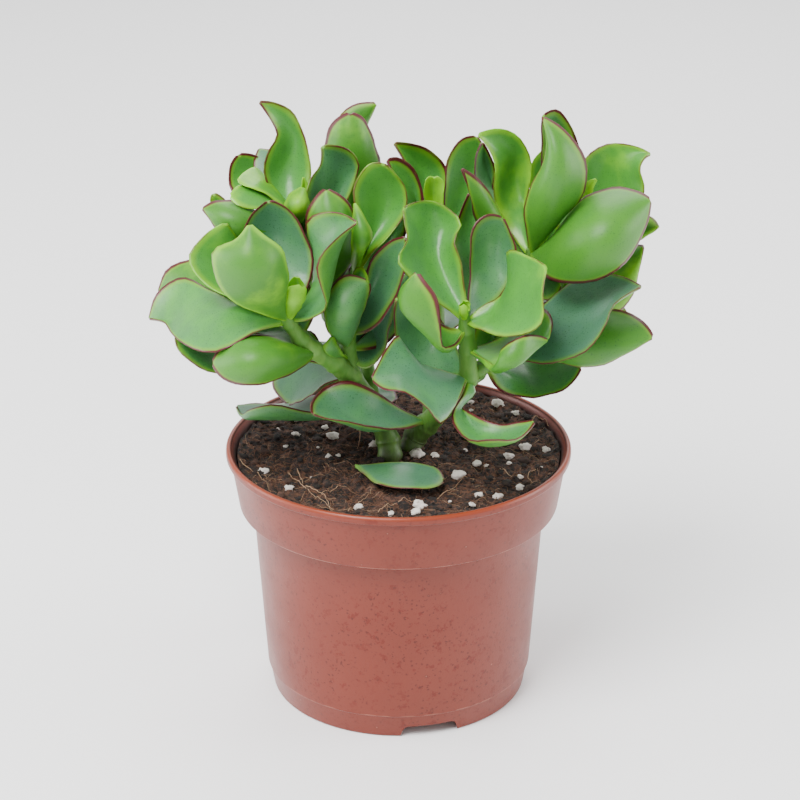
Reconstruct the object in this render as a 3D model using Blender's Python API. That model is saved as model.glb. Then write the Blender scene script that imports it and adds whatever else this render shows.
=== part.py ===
"""A silver dollar jade with waved leaves: two leafy cuttings in a round plastic nursery pot.

Metres, +Z up. The origin is on the ground under the pot's axis, and the photograph looks along +Y.
The pot and the soil are real sizes. Each leaf that the photograph shows is three curves from its base
to its tip, whose points are read off the photograph and set at a chosen depth. Leaves that it doesn't
show grow in opposite pairs, by a rule.
"""

import math
import random
from collections import namedtuple

import bmesh
import bpy
import numpy as np

MM = 0.001

# Pot, in millimetres
RIM_RADIUS = 60.0
RIM_HEIGHT = 91.3
LIP_DEPTH = 2.8
COLLAR_TOP_RADIUS = 58.5
COLLAR_FOOT_RADIUS = 55.7
COLLAR_FOOT_HEIGHT = 70.3
BODY_TOP_RADIUS = 50.9
SEAM_HEIGHT = 8.8
SEAM_RADIUS = 46.8
BASE_RADIUS = 44.6
WALL = 1.3
STEP_FOOT = COLLAR_FOOT_HEIGHT + 0.6 * WALL
STEP_TOP = COLLAR_FOOT_HEIGHT + 1.5 * WALL
FLOOR_CORNER = 1.2
RING_WIDTH = 2.2
FLOOR_HEIGHT = 4.9
FLOOR_THICKNESS = 1.5
POT_SIDES = 40
NOTCH_COUNT = 3
NOTCH_HEIGHT = 4.3
NOTCH_WIDTH = 23.5
NOTCH_TOP_WIDTH = 18.0
NOTCH_MIDDLE = math.radians(14)
DRAIN_HOLES = 6
DRAIN_RADIUS = 3.5
DRAIN_RING = 30.0
DRAIN_CUT = 9.0
CUTTER_SIDES = 16
SHARP_ANGLE = math.radians(30)

# Soil, in millimetres
SOIL_LEVEL = 86.6
SOIL_EDGE_DROP = 2.5
SOIL_MOUND = 1.2
SOIL_MOUND_SPREAD = 26.0
SOIL_BACK_RISE = 2.5
SOIL_WAVE = 0.6
SOIL_RIPPLE = 0.3
SOIL_REACH = 52.5
SOIL_GAP = 0.35
SOIL_RINGS = (0.0, 8.0, 16.0, 24.0, 32.0, 40.0, 47.5, 53.0)
SOIL_SIDES = 36
STEM_DEPTH = 12.0
HOLE_GAP = 0.4
GRAIN_HEIGHT = 0.7
GRAIN_DEPTH = 0.85
GRAIN_LIFT = 0.25
GRAIN_UNEVEN = 0.15
HIDDEN_GRAINS = 7
HIDDEN_GRAIN_RADII = (1.2, 2.2)
HIDDEN_GRAIN_REACH = (16.0, 49.0)

# Leaves and stems, in millimetres. A leaf shorter than FULL_LENGTH is thinner
LEAF_THICKNESS = 2.4
FULL_LENGTH = 30.0
THINNEST = 0.4
LEAF_BANDS = 7
SMALL_LEAF = 24.0
SMALL_BANDS = 4
HIDDEN_BANDS = 5
ACROSS = (-1.0, -0.5, 0.0, 0.5, 1.0)
CURVE_SAMPLES = 160
STEM_SIDES = 8
NODE_SWELL = 1.14
STEM_WAIST = 0.97
PATH_STEPS = 100
PATH_END = 5
ROOTED = "AD"

# The viewpoint that turns a point of the photograph into a place
FRAME_CENTRE = 400.0
FOCAL_PIXELS = 2600.0
VIEW_DISTANCE = 904.1
VIEW_TILT = math.radians(23.65)
VIEW_SIDE = 0.504
VIEW_RISE = 14.75
HEIGHT_ROUNDS = 12

# The colour and the roughness of each material
FINISHES = {
    "pot": ((0.42, 0.13, 0.09, 1), 0.45),
    "soil": ((0.045, 0.026, 0.018, 1), 0.95),
    "leaf": ((0.16, 0.42, 0.10, 1), 0.4),
    "fallen": ((0.17, 0.33, 0.13, 1), 0.45),
}

# A stem is points of the photograph, (across, down, nearness in mm, radius in mm), from below upwards
STEMS = {
    "A": ((390, 455, 5, 4.0), (388, 440, 3, 4.0), (378, 415, 3, 3.8), (364, 396, 5, 3.7), (352, 378, 8, 3.6),
          (334, 362, 14, 3.4), (314, 350, 19, 3.1), (300, 338, 22, 2.9), (289, 322, 26, 2.4), (287, 312, 28, 1.5)),
    "B": ((352, 380, 8, 2.9), (345, 350, 0, 2.8), (330, 315, -8, 2.7), (312, 275, -11, 2.6),
          (300, 240, -10, 2.4), (296, 210, -8, 1.5)),
    "C": ((364, 396, 5, 2.9), (352, 370, 7, 2.7), (348, 345, 9, 2.6), (351, 315, 7, 2.5),
          (353, 285, 3, 2.2), (355, 270, 2, 1.5)),
    "K": ((374, 408, 3, 2.8), (366, 360, -8, 2.6), (358, 300, -20, 2.5), (354, 245, -29, 2.3), (352, 200, -31, 1.5)),
    "D": ((412, 445, -3, 4.0), (415, 437, -4, 4.0), (427, 424, -2, 3.9), (446, 405, 6, 3.7), (460, 390, 13, 3.5),
          (468, 377, 18, 3.2), (468, 350, 21, 3.0), (466, 330, 23, 2.7), (464, 312, 25, 1.5)),
    "F": ((467, 378, 17, 2.6), (478, 371, 16, 2.4), (488, 364, 13, 2.3), (499, 357, 10, 1.5)),
    "E": ((462, 388, 14, 2.9), (478, 372, 6, 2.8), (500, 345, 2, 2.7), (518, 310, 0, 2.6),
          (527, 275, -2, 2.4), (531, 248, 0, 1.5)),
    "H": ((498, 348, 2, 2.6), (520, 335, -6, 2.5), (550, 300, -14, 2.4), (574, 262, -20, 2.2), (586, 232, -22, 1.5)),
    "M": ((430, 422, 0, 2.9), (432, 385, -10, 2.8), (437, 330, -18, 2.6), (438, 280, -26, 2.4), (436, 226, -29, 1.5)),
}
PLANTS = {"plant_left": "ABCK", "plant_right": "DFEHM"}

# A leaf's points are (across, down, nearness in mm). Left and right are its edges with its tip turned
# up, side is the face that the photograph shows, and stem is the letter of the stem it grows from
Leaf = namedtuple("Leaf", "name stem side base tip left right middle")
LEAVES = (
    Leaf("A1", "A", "under", (281, 317, 28), (250, 222, 38),
         ((255, 312, 34), (224, 294, 38), (212, 252, 38), (236, 238, 38)),
         ((286, 303, 31), (289, 275, 34), (281, 247, 37), (262, 233, 38)),
         ((252, 268, 46),)),
    Leaf("A2", "A", "upper", (285, 324, 26), (148, 319, -14),
         ((255, 333, 34), (215, 353, 38), (180, 342, 24), (163, 322, 2)),
         ((250, 309, 18), (215, 292, 4), (180, 277, -10), (157, 293, -13)),
         ((215, 320, 22), (172, 315, -2))),
    Leaf("A3", "A", "upper", (284, 318, 25), (226, 221, 8),
         ((218, 292, 22), (195, 275, 18), (189, 255, 14), (203, 236, 10)),
         ((255, 285, 12), (245, 255, 2), (236, 235, 4)),
         ((230, 270, 6),)),
    Leaf("A4", "A", "upper", (290, 321, 26), (358, 222, 26),
         ((301, 303, 16), (313, 280, 8), (311, 252, 6), (306, 221, 8), (330, 211, 14)),
         ((312, 319, 32), (326, 306, 36), (316, 270, 36), (324, 250, 34), (343, 233, 30)),
         ((318, 302, 24), (329, 275, 22), (337, 248, 18), (347, 229, 20))),
    Leaf("A5", "A", "upper", (290, 320, 24), (268, 199, 6),
         ((262, 290, 8), (242, 255, 6), (246, 222, 8)),
         ((308, 288, 12), (314, 262, 9), (303, 229, 9), (287, 207, 8)),
         ((278, 250, 0),)),
    Leaf("A6", "A", "upper", (293, 320, 27), (297, 275, 24),
         ((288, 302, 26), (287, 284, 26)),
         ((303, 302, 24), (304, 284, 24)),
         ((296, 295, 22),)),
    Leaf("A7", "A", "under", (314, 355, 18), (211, 363, 36),
         ((303, 367, 22), (280, 379, 32), (250, 386, 40), (222, 379, 40)),
         ((304, 351, 20), (285, 341, 25), (262, 334, 28), (235, 337, 32), (217, 351, 34)),
         ((258, 360, 44),)),
    Leaf("A8", "A", "upper", (304, 345, 17), (174, 334, 12),
         ((260, 375, 20), (213, 373, 22), (190, 362, 20), (177, 348, 16)),
         ((250, 335, -5), (200, 322, -5)),
         ((230, 350, 8),)),
    Leaf("A9", "A", "under", (287, 322, 23), (157, 293, -17),
         ((220, 312, 0), (182, 305, -8), (165, 300, -14)),
         ((235, 268, -14), (190, 259, -18), (167, 269, -19), (160, 283, -18)),
         ((205, 285, -4),)),
    Leaf("A10", "A", "under", (292, 321, 30), (303, 284, 30),
         ((284, 305, 30), (287, 288, 32)),
         ((302, 305, 29), (307, 291, 30)),
         ((295, 302, 33),)),
    Leaf("B1", "B", "upper", (294, 212, -10), (257, 101, -14),
         ((275, 199, -12), (264, 175, -12), (267, 152, -12), (277, 137, -14), (272, 123, -14), (264, 110, -14)),
         ((309, 190, -12), (311, 165, -14), (304, 135, -16), (293, 112, -16), (275, 102, -15)),
         ((287, 170, -20), (290, 135, -20), (275, 112, -17))),
    Leaf("B2", "B", "upper", (298, 226, -10), (238, 153, -26),
         ((240, 200, -18), (229, 185, -22), (230, 165, -24)),
         ((262, 190, -26), (268, 168, -30), (256, 155, -29)),
         ((250, 178, -28),)),
    Leaf("B3", "B", "upper", (293, 214, -8), (236, 181, -6),
         ((262, 192, -4), (247, 187, -4)),
         ((264, 174, -18), (256, 167, -18), (244, 172, -12)),
         ((259, 181, -12),)),
    Leaf("B4", "B", "upper", (294, 214, -8), (228, 196, -2),
         ((262, 210, -1), (240, 207, 1)),
         ((268, 190, -12), (251, 182, -12), (237, 186, -6)),
         ((255, 196, -5),)),
    Leaf("B5", "B", "under", (292, 234, -9), (201, 208, -2),
         ((245, 242, 0), (218, 231, 2), (208, 218, 1)),
         ((257, 212, -8), (240, 202, -6), (217, 200, -3)),
         ((234, 219, 5),)),
    Leaf("B6", "B", "upper", (280, 224, -14), (213, 192, -26),
         ((215, 212, -24), (210, 199, -26)),
         ((236, 212, -26), (223, 197, -26)),
         ((224, 208, -28),)),
    Leaf("B7", "B", "under", (299, 230, -7), (304, 186, -8),
         ((290, 217, -4), (284, 203, -6), (294, 190, -8)),
         ((309, 210, -4), (308, 195, -6)),
         ((298, 205, 1),)),
    Leaf("B8", "B", "upper", (305, 245, -10), (321, 145, -14),
         ((307, 209, -6), (305, 192, -5), (313, 175, -8), (321, 162, -12)),
         ((345, 207, -16), (354, 182, -18), (360, 165, -19), (345, 147, -16)),
         ((334, 180, -20),)),
    Leaf("B9", "K", "under", (352, 205, -34), (350, 111, -29),
         ((332, 185, -36), (324, 148, -34), (333, 121, -31)),
         ((380, 170, -36), (374, 140, -33), (364, 118, -31)),
         ((352, 150, -26),)),
    Leaf("B10", "K", "under", (352, 205, -37), (378, 102, -46),
         ((335, 125, -44), (352, 105, -46)),
         ((365, 135, -50), (370, 120, -48)),
         ((355, 128, -44),)),
    Leaf("B11", "B", "under", (348, 285, 1), (326, 187, 4),
         ((312, 245, 0), (305, 217, 2), (316, 195, 4)),
         ((355, 260, -2), (358, 232, 0), (350, 203, 2)),
         ((332, 228, 10),)),
    Leaf("B12", "B", "upper", (299, 222, -9), (303, 175, -10),
         ((301, 190, -9),),
         ((308, 190, -10),),
         ((304, 190, -11),)),
    Leaf("C1", "C", "upper", (357, 278, 2), (383, 162, -4),
         ((362, 240, 0), (353, 200, -1), (356, 180, -3), (369, 164, -4)),
         ((373, 253, 0), (398, 226, -4), (408, 203, -6), (405, 187, -6), (395, 172, -5)),
         ((379, 218, -10), (384, 185, -9))),
    Leaf("C2", "C", "upper", (352, 336, 10), (406, 236, 12),
         ((357, 310, 4), (365, 282, 4), (369, 262, 6), (385, 244, 8), (396, 238, 10)),
         ((372, 330, 14), (392, 305, 14), (403, 278, 13), (408, 250, 13)),
         ((378, 292, 2),)),
    Leaf("C3", "C", "under", (353, 284, 8), (354, 201, 4),
         ((351, 255, 7), (352, 225, 6)),
         ((361, 252, 9), (373, 238, 9), (366, 219, 7)),
         ((361, 235, 12),)),
    Leaf("C4", "C", "under", (347, 350, 11), (370, 281, 20),
         ((328, 332, 18), (323, 312, 20), (331, 286, 20), (347, 274, 18)),
         ((356, 330, 16), (366, 305, 18), (371, 290, 19)),
         ((345, 316, 27), (357, 290, 23))),
    Leaf("C5", "C", "upper", (350, 353, 6), (396, 300, 2),
         ((356, 325, -1), (375, 310, -3)),
         ((365, 369, 10), (384, 353, 8), (389, 330, 6), (394, 313, 4)),
         ((371, 338, -2),)),
    Leaf("C9", "C", "upper", (352, 320, 11), (369, 282, 19),
         ((351, 292, 11), (353, 271, 10), (361, 266, 10)),
         ((364, 302, 18), (369, 291, 21)),
         ((359, 288, 11),)),
    Leaf("C6", "C", "under", (347, 362, 10), (333, 334, 18),
         ((328, 357, 18), (321, 350, 19)),
         ((341, 350, 17),),
         ((331, 347, 20),)),
    Leaf("M1", "M", "upper", (432, 262, -24), (386, 159, -16),
         ((408, 215, -13), (399, 187, -12), (391, 168, -14)),
         ((425, 212, -20), (421, 183, -20), (411, 165, -18), (398, 157, -17)),
         ((411, 195, -22),)),
    Leaf("M2", "M", "upper", (436, 242, -30), (393, 142, -36),
         ((420, 200, -32), (409, 170, -32), (400, 153, -34)),
         ((447, 200, -38), (446, 167, -40), (430, 150, -38), (412, 143, -37)),
         ((426, 182, -43),)),
    Leaf("M3", "M", "upper", (434, 228, -28), (434, 175, -30),
         ((424, 198, -28), (426, 179, -29)),
         ((443, 200, -28), (443, 180, -29)),
         ((434, 198, -32),)),
    Leaf("M4", "M", "upper", (440, 262, -28), (477, 135, -34),
         ((444, 215, -28), (445, 172, -30), (451, 150, -32), (463, 138, -33)),
         ((478, 220, -34), (485, 180, -36), (485, 150, -36)),
         ((463, 185, -39),)),
    Leaf("M5", "E", "upper", (524, 266, -3), (482, 141, -20),
         ((478, 203, -14), (474, 172, -14), (476, 155, -16)),
         ((492, 200, -22), (496, 175, -24), (491, 155, -22)),
         ((486, 180, -25),)),
    Leaf("M6", "E", "upper", (529, 256, -3), (476, 134, -6),
         ((503, 222, -10), (493, 192, -8), (495, 168, -6), (487, 146, -6)),
         ((524, 212, -14), (531, 180, -14), (530, 155, -14), (518, 136, -12), (499, 128, -9)),
         ((513, 182, -19), (506, 150, -14))),
    Leaf("M7", "E", "under", (526, 266, -4), (461, 167, 4),
         ((478, 225, -8), (470, 195, -1), (465, 178, 3)),
         ((506, 228, -11), (490, 193, -5), (476, 176, 1)),
         ((484, 205, -1),)),
    Leaf("M8", "D", "upper", (467, 334, 16), (469, 191, -6),
         ((455, 264, 0), (451, 238, -3), (461, 210, -4)),
         ((480, 270, -4), (482, 230, -6), (477, 205, -7)),
         ((470, 245, -8),)),
    Leaf("C7", "C", "upper", (362, 268, 0), (405, 206, -16),
         ((375, 240, -12), (390, 212, -16)),
         ((386, 264, -8), (405, 237, -14)),
         ((389, 238, -19),)),
    Leaf("C8", "C", "upper", (356, 345, 6), (413, 262, -12),
         ((378, 318, -8), (394, 290, -13)),
         ((381, 347, 2), (400, 330, -5), (412, 298, -10)),
         ((390, 316, -9),)),
    Leaf("D10", "D", "upper", (469, 338, 12), (514, 322, 2),
         ((482, 318, 0), (500, 312, -2)),
         ((483, 351, 6), (503, 346, 4)),
         ((492, 334, -4),)),
    Leaf("D1", "D", "upper", (461, 316, 22), (402, 208, 16),
         ((446, 309, 26), (413, 280, 30), (397, 262, 32), (406, 243, 26), (405, 225, 20)),
         ((466, 295, 20), (461, 262, 18), (455, 240, 16), (461, 221, 10), (446, 206, 6), (424, 200, 8)),
         ((438, 270, 12), (425, 228, 6))),
    Leaf("D2", "D", "upper", (467, 317, 24), (547, 266, 40),
         ((483, 305, 22), (500, 296, 20), (509, 277, 16), (507, 251, 18), (529, 256, 30)),
         ((480, 330, 34), (505, 337, 40), (526, 334, 44), (543, 322, 48), (543, 297, 46)),
         ((495, 316, 26), (523, 288, 30))),
    Leaf("D3", "D", "upper", (467, 316, 21), (503, 216, 8),
         ((470, 270, 13), (470, 240, 12), (476, 221, 10), (489, 214, 9)),
         ((504, 293, 10), (517, 257, 9), (511, 232, 8)),
         ((490, 258, 4),)),
    Leaf("D4", "D", "under", (461, 331, 24), (418, 270, 40),
         ((447, 326, 24), (425, 312, 26), (402, 290, 34), (408, 279, 38)),
         ((453, 344, 36), (443, 346, 42), (441, 322, 44), (437, 297, 44), (425, 280, 42)),
         ((445, 348, 34), (426, 332, 40), (406, 308, 42))),
    Leaf("D5", "D", "upper", (473, 350, 22), (549, 339, 32),
         ((487, 343, 14), (507, 334, 10), (532, 314, 10), (544, 308, 14), (553, 322, 24)),
         ((482, 357, 32), (496, 364, 41), (503, 347, 44), (521, 336, 44), (538, 335, 38)),
         ((485, 359, 30), (500, 367, 40), (517, 363, 44), (534, 349, 40))),
    Leaf("D6", "D", "upper", (463, 322, 25), (466, 299, 24),
         ((459, 312, 25), (460, 304, 25)),
         ((469, 312, 24), (470, 304, 24)),
         ((465, 308, 22),)),
    Leaf("D7", "D", "upper", (470, 379, 18), (370, 380, 40),
         ((463, 390, 30), (453, 410, 38), (440, 424, 46), (426, 407, 48), (405, 393, 48), (385, 390, 46)),
         ((450, 372, 20), (426, 365, 20), (408, 355, 20), (398, 335, 24), (384, 352, 32)),
         ((437, 386, 32), (400, 372, 34))),
    Leaf("D8", "D", "upper", (474, 380, 17), (537, 419, 44),
         ((475, 391, 20), (462, 405, 28), (478, 416, 36), (500, 424, 40), (521, 421, 42)),
         ((464, 391, 26), (452, 413, 36), (457, 431, 46), (472, 440, 53), (495, 439, 57), (520, 437.5, 53)),
         ((470, 393, 24), (458, 410, 31), (471, 432, 38), (488, 442, 44), (512, 439, 46))),
    Leaf("D9", "D", "under", (464, 323, 26), (460, 303, 28),
         ((459, 314, 27),),
         ((468, 314, 27), (467, 306, 28)),
         ((463, 312, 28),)),
    Leaf("E1", "E", "under", (533, 248, 2), (542, 115, 6),
         ((525, 227, 4), (524, 205, 5), (533, 181, 7), (545, 157, 8), (546, 133, 8)),
         ((560, 222, 6), (582, 197, 6), (588, 172, 6), (580, 147, 7), (562, 127, 7)),
         ((554, 190, 16), (556, 150, 15))),
    Leaf("E2", "E", "under", (540, 262, 8), (652, 199, 10),
         ((556, 231, 4), (580, 200, 2), (610, 187, 2), (637, 190, 6)),
         ((552, 281, 16), (585, 283, 20), (613, 274, 20), (634, 252, 18), (648, 222, 14)),
         ((596, 235, 25),)),
    Leaf("E3", "H", "upper", (590, 232, -20), (652, 154, -16),
         ((585, 195, -26), (584, 160, -28), (600, 146, -28), (622, 143, -26), (641, 148, -20)),
         ((622, 222, -14), (645, 192, -12), (640, 170, -12), (645, 158, -14)),
         ((611, 185, -29), (632, 160, -23))),
    Leaf("E4", "H", "upper", (584, 234, -20), (598, 178, -13),
         ((584, 185, -14),),
         ((593, 190, -13),),
         ((589, 188, -15),)),
    Leaf("E5", "E", "upper", (532, 250, -4), (543, 149, -26),
         ((530, 190, -24), (531, 165, -25)),
         ((555, 190, -27), (556, 165, -27)),
         ((542, 185, -29),)),
    Leaf("E6", "E", "upper", (537, 262, 2), (558, 220, -6),
         ((541, 240, -4), (548, 226, -6)),
         ((555, 248, -4),),
         ((549, 240, -8),)),
    Leaf("E8", "E", "upper", (523, 290, -1), (563, 284, -8),
         ((540, 300, -3), (556, 297, -6)),
         ((538, 270, -10), (554, 268, -12)),
         ((545, 285, -12),)),
    Leaf("E7", "E", "upper", (536, 248, -4), (542, 115, -2),
         ((538, 200, -8), (541, 160, -8), (541, 132, -5)),
         ((566, 200, -10), (583, 170, -10), (573, 130, -6), (557, 109, -3)),
         ((556, 180, -17), (556, 138, -13))),
    Leaf("F1", "F", "upper", (494, 360, 13), (643, 286, 20),
         ((515, 330, 4), (541, 307, 4), (562, 288, 0), (590, 273, -3), (618, 275, 5)),
         ((520, 361, 22), (550, 364, 28), (585, 352, 32), (604, 330, 32), (612, 307, 28), (628, 294, 24)),
         ((545, 336, 16), (590, 309, 12))),
    Leaf("F2", "F", "under", (498, 361, 9), (655, 338, 14),
         ((560, 325, -4), (600, 309, 0), (625, 311, 4), (645, 322, 10)),
         ((560, 363, 8), (590, 368, 14), (622, 357, 16), (645, 343, 15)),
         ((602, 341, 17),)),
    Leaf("F3", "F", "upper", (483, 374, 12), (583, 366, 10),
         ((510, 365, -6), (550, 350, -8), (574, 356, 0)),
         ((500, 391, 10), (530, 398, 14), (560, 392, 14), (575, 381, 12)),
         ((535, 378, 2),)),
    Leaf("F4", "H", "under", (560, 285, -17), (645, 245, -8),
         ((595, 265, -26), (625, 246, -20)),
         ((600, 318, -10), (621, 311, -6), (634, 293, -5), (640, 268, -5)),
         ((618, 278, -6),)),
    Leaf("F5", "H", "under", (582, 250, -22), (660, 227, 7),
         ((625, 218, -14), (650, 216, -3)),
         ((622, 248, -8), (646, 237, 0)),
         ((630, 232, -6),)),
    Leaf("G1", "D", "upper", (424, 417, -2), (311, 414, 30),
         ((404, 429, 14), (380, 427, 28), (352, 422, 36), (326, 418, 35)),
         ((400, 407, 5), (370, 388, 13), (345, 380, 16), (322, 389, 17), (311, 402, 23)),
         ((392, 420, 10), (362, 423, 21), (335, 417, 27))),
    Leaf("G2", "A", "upper", (364, 404, -1), (236, 405, -12),
         ((313, 412, 8), (275, 404, 10), (250, 409, 6), (243, 414, 0)),
         ((315, 395, -12), (285, 403, -16), (255, 403, -16)),
         ((312, 417, 4), (275, 417, 4), (248, 416, -2))),
    Leaf("G3", "A", "upper", (347, 377, 5), (288, 406, -6),
         ((331, 381, 6), (307, 398, 5)),
         ((325, 360, -16), (290, 362, -24), (272, 380, -22)),
         ((307, 380, -10),)),
    Leaf("G6", "D", "upper", (463, 366, 14), (396, 298, 22),
         ((442, 380, 8), (415, 369, 8), (399, 347, 11), (394, 322, 17)),
         ((445, 325, 0), (415, 293, 10)),
         ((427, 338, 2), (407, 318, 8))),
)
FALLEN_LEVEL = SOIL_LEVEL + 2.6
FALLEN_THICKNESS = 2.0
FALLEN_LEAF = Leaf("fallen", "", "upper", (355, 466, 0), (445, 481, 0.5),
                   ((375, 463, 1.5), (410, 462, 2), (437, 468, 1.5)),
                   ((366, 476, 1), (380, 485, 2), (415, 489, 2.5), (436, 487, 1.5)),
                   ((400, 474, 0.5),))

# A hidden leaf grows from a point on its stem: (stem, how far up from 0 to 1, heading in degrees from
# +X towards +Y, rise in degrees, length in mm)
HIDDEN_LEAVES = (
    ("B", 0.55, 150, 20, 40), ("B", 0.62, 60, 25, 36), ("B", 0.85, 120, 38, 38), ("B", 0.40, 100, 5, 38),
    ("A", 0.55, 130, -5, 38), ("A", 0.70, 170, 5, 36), ("A", 0.84, 120, 25, 38),
    ("C", 0.55, 100, 15, 34), ("K", 0.35, 110, 5, 36), ("K", 0.60, 150, 15, 38), ("K", 0.60, 60, 15, 30),
    ("K", 0.82, 110, 30, 36),
    ("M", 0.40, 80, 0, 38), ("M", 0.62, 120, 12, 34), ("M", 0.64, 50, 15, 38), ("M", 0.85, 85, 32, 36),
    ("E", 0.50, 70, 5, 38), ("E", 0.70, 100, 20, 36), ("H", 0.45, 110, 8, 38), ("H", 0.45, 0, -5, 30),
    ("H", 0.68, 60, 15, 36), ("H", 0.88, 100, 28, 34), ("F", 0.60, 75, 0, 28),
    ("D", 0.50, 110, -8, 34), ("A", 0.30, 100, -12, 34),
)
HIDDEN_WIDTH = 0.56
HIDDEN_ARCH = math.radians(42)
HIDDEN_WAVE = 2.6
HIDDEN_PHASE = 1.7

# The white grains that the photograph shows on the soil: (across, down, radius in mm)
GRAINS = (
    (296, 436, 1.7), (333, 438, 2.2), (374, 446, 1.8), (263, 473, 1.9), (289, 490, 1.9), (417, 456, 2.8),
    (435, 457, 1.5), (477, 465, 1.5), (458, 477, 2.4), (501, 404, 2.4), (526, 411, 1.5), (525, 449, 2.3),
    (546, 451, 1.6), (509, 458, 1.7), (520, 489, 1.5), (479, 497, 1.7), (498, 498, 1.8), (420, 507, 2.2),
    (358, 508, 1.5),
)


def seen(across, down, near):
    """The place, in mm, of a point of the photograph that is this much nearer than the pot's axis."""
    sine = math.sin(VIEW_TILT)
    cosine = math.cos(VIEW_TILT)
    slope = (down - FRAME_CENTRE) / FOCAL_PIXELS
    drop = VIEW_RISE + near * sine - slope * (VIEW_DISTANCE - near * cosine)
    height = drop / (cosine - slope * sine)
    depth = VIEW_DISTANCE - near * cosine - height * sine
    return np.array([VIEW_SIDE + (across - FRAME_CENTRE) / FOCAL_PIXELS * depth, -near, RIM_HEIGHT + height])


def seen_at_height(across, down, height):
    """The place of a point of the photograph at a height, which is a function of x and y."""
    near = 0.0
    for _ in range(HEIGHT_ROUNDS):
        x, y, z = seen(across, down, near)
        near += (height(x, y) - z) / (1.5 * math.tan(VIEW_TILT))
    return seen(across, down, near)


def curve_through(points, count):
    """A smooth curve through the points, as this many places evenly spaced along it."""
    points = np.array(points, float)
    steps = np.sqrt(np.linalg.norm(np.diff(points, axis=0), axis=1))
    knots = np.concatenate([[0.0], np.cumsum(steps)])
    rates = np.diff(points, axis=0) / steps[:, None]
    slopes = np.empty_like(points)
    weights = steps[1:, None] / (steps[:-1] + steps[1:])[:, None]
    slopes[1:-1] = rates[:-1] * weights + rates[1:] * (1 - weights)
    slopes[0] = 1.5 * rates[0] - 0.5 * slopes[1]
    slopes[-1] = 1.5 * rates[-1] - 0.5 * slopes[-2]
    fine = np.linspace(0, knots[-1], CURVE_SAMPLES)
    part = np.clip(np.searchsorted(knots, fine, side="right") - 1, 0, len(steps) - 1)
    span = steps[part][:, None]
    t = (fine[:, None] - knots[part][:, None]) / span
    path = (
        (2 * t**3 - 3 * t**2 + 1) * points[part]
        + (t**3 - 2 * t**2 + t) * span * slopes[part]
        + (3 * t**2 - 2 * t**3) * points[part + 1]
        + (t**3 - t**2) * span * slopes[part + 1]
    )
    run = np.concatenate([[0.0], np.cumsum(np.linalg.norm(np.diff(path, axis=0), axis=1))])
    return np.stack([np.interp(np.linspace(0, run[-1], count), run, path[:, axis]) for axis in range(3)], 1)


def leaf_rails(leaf, place, path=None):
    """The left edge, the middle and the right edge of a leaf, seen on its upper face.

    With the path of its stem, the leaf starts at the nearest place on that.
    """
    base = place(*leaf.base)
    tip = place(*leaf.tip)
    if path is not None:
        base = path[np.argmin(np.linalg.norm(path[:-PATH_END] - base, axis=1))]
    bands = LEAF_BANDS if np.linalg.norm(tip - base) > SMALL_LEAF else SMALL_BANDS
    rails = []
    for points in (leaf.left, leaf.middle, leaf.right):
        inner = [place(*point) for point in points]
        rails.append(curve_through([base, *inner, tip], bands + 1))
    return rails if leaf.side == "upper" else rails[::-1]


def hidden_rails(base, heading, rise, length, phase):
    """The three curves of a leaf that grows from base along its heading, arches out and waves at its edges."""
    along = np.linspace(0, 1, HIDDEN_BANDS + 1)
    angle = rise + HIDDEN_ARCH * (0.5 - along)
    outward = np.array([math.cos(heading), math.sin(heading), 0.0])
    aside = np.array([-math.sin(heading), math.cos(heading), 0.0])
    upward = np.array([0.0, 0.0, 1.0])
    ahead = np.cos(angle)[:, None] * outward + np.sin(angle)[:, None] * upward
    above = np.cos(angle)[:, None] * upward - np.sin(angle)[:, None] * outward
    middle = base + np.concatenate([np.zeros((1, 3)), np.cumsum((ahead[1:] + ahead[:-1]) / 2, axis=0)])
    middle = base + (middle - base) * length / HIDDEN_BANDS
    half = length * HIDDEN_WIDTH / 2 * np.sin(np.pi * along**0.85) ** 0.75 * (1 - 0.15 * along)
    lift = 0.35 * half
    edges = []
    for side in (1, -1):
        wave = HIDDEN_WAVE * np.sin(np.pi * along) * np.sin(2.6 * np.pi * along + phase + side)
        edges.append(middle + side * half[:, None] * aside + (lift + wave)[:, None] * above)
    edges[0][[0, -1]] = middle[[0, -1]]
    edges[1][[0, -1]] = middle[[0, -1]]
    return [edges[0], middle, edges[1]]


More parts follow.
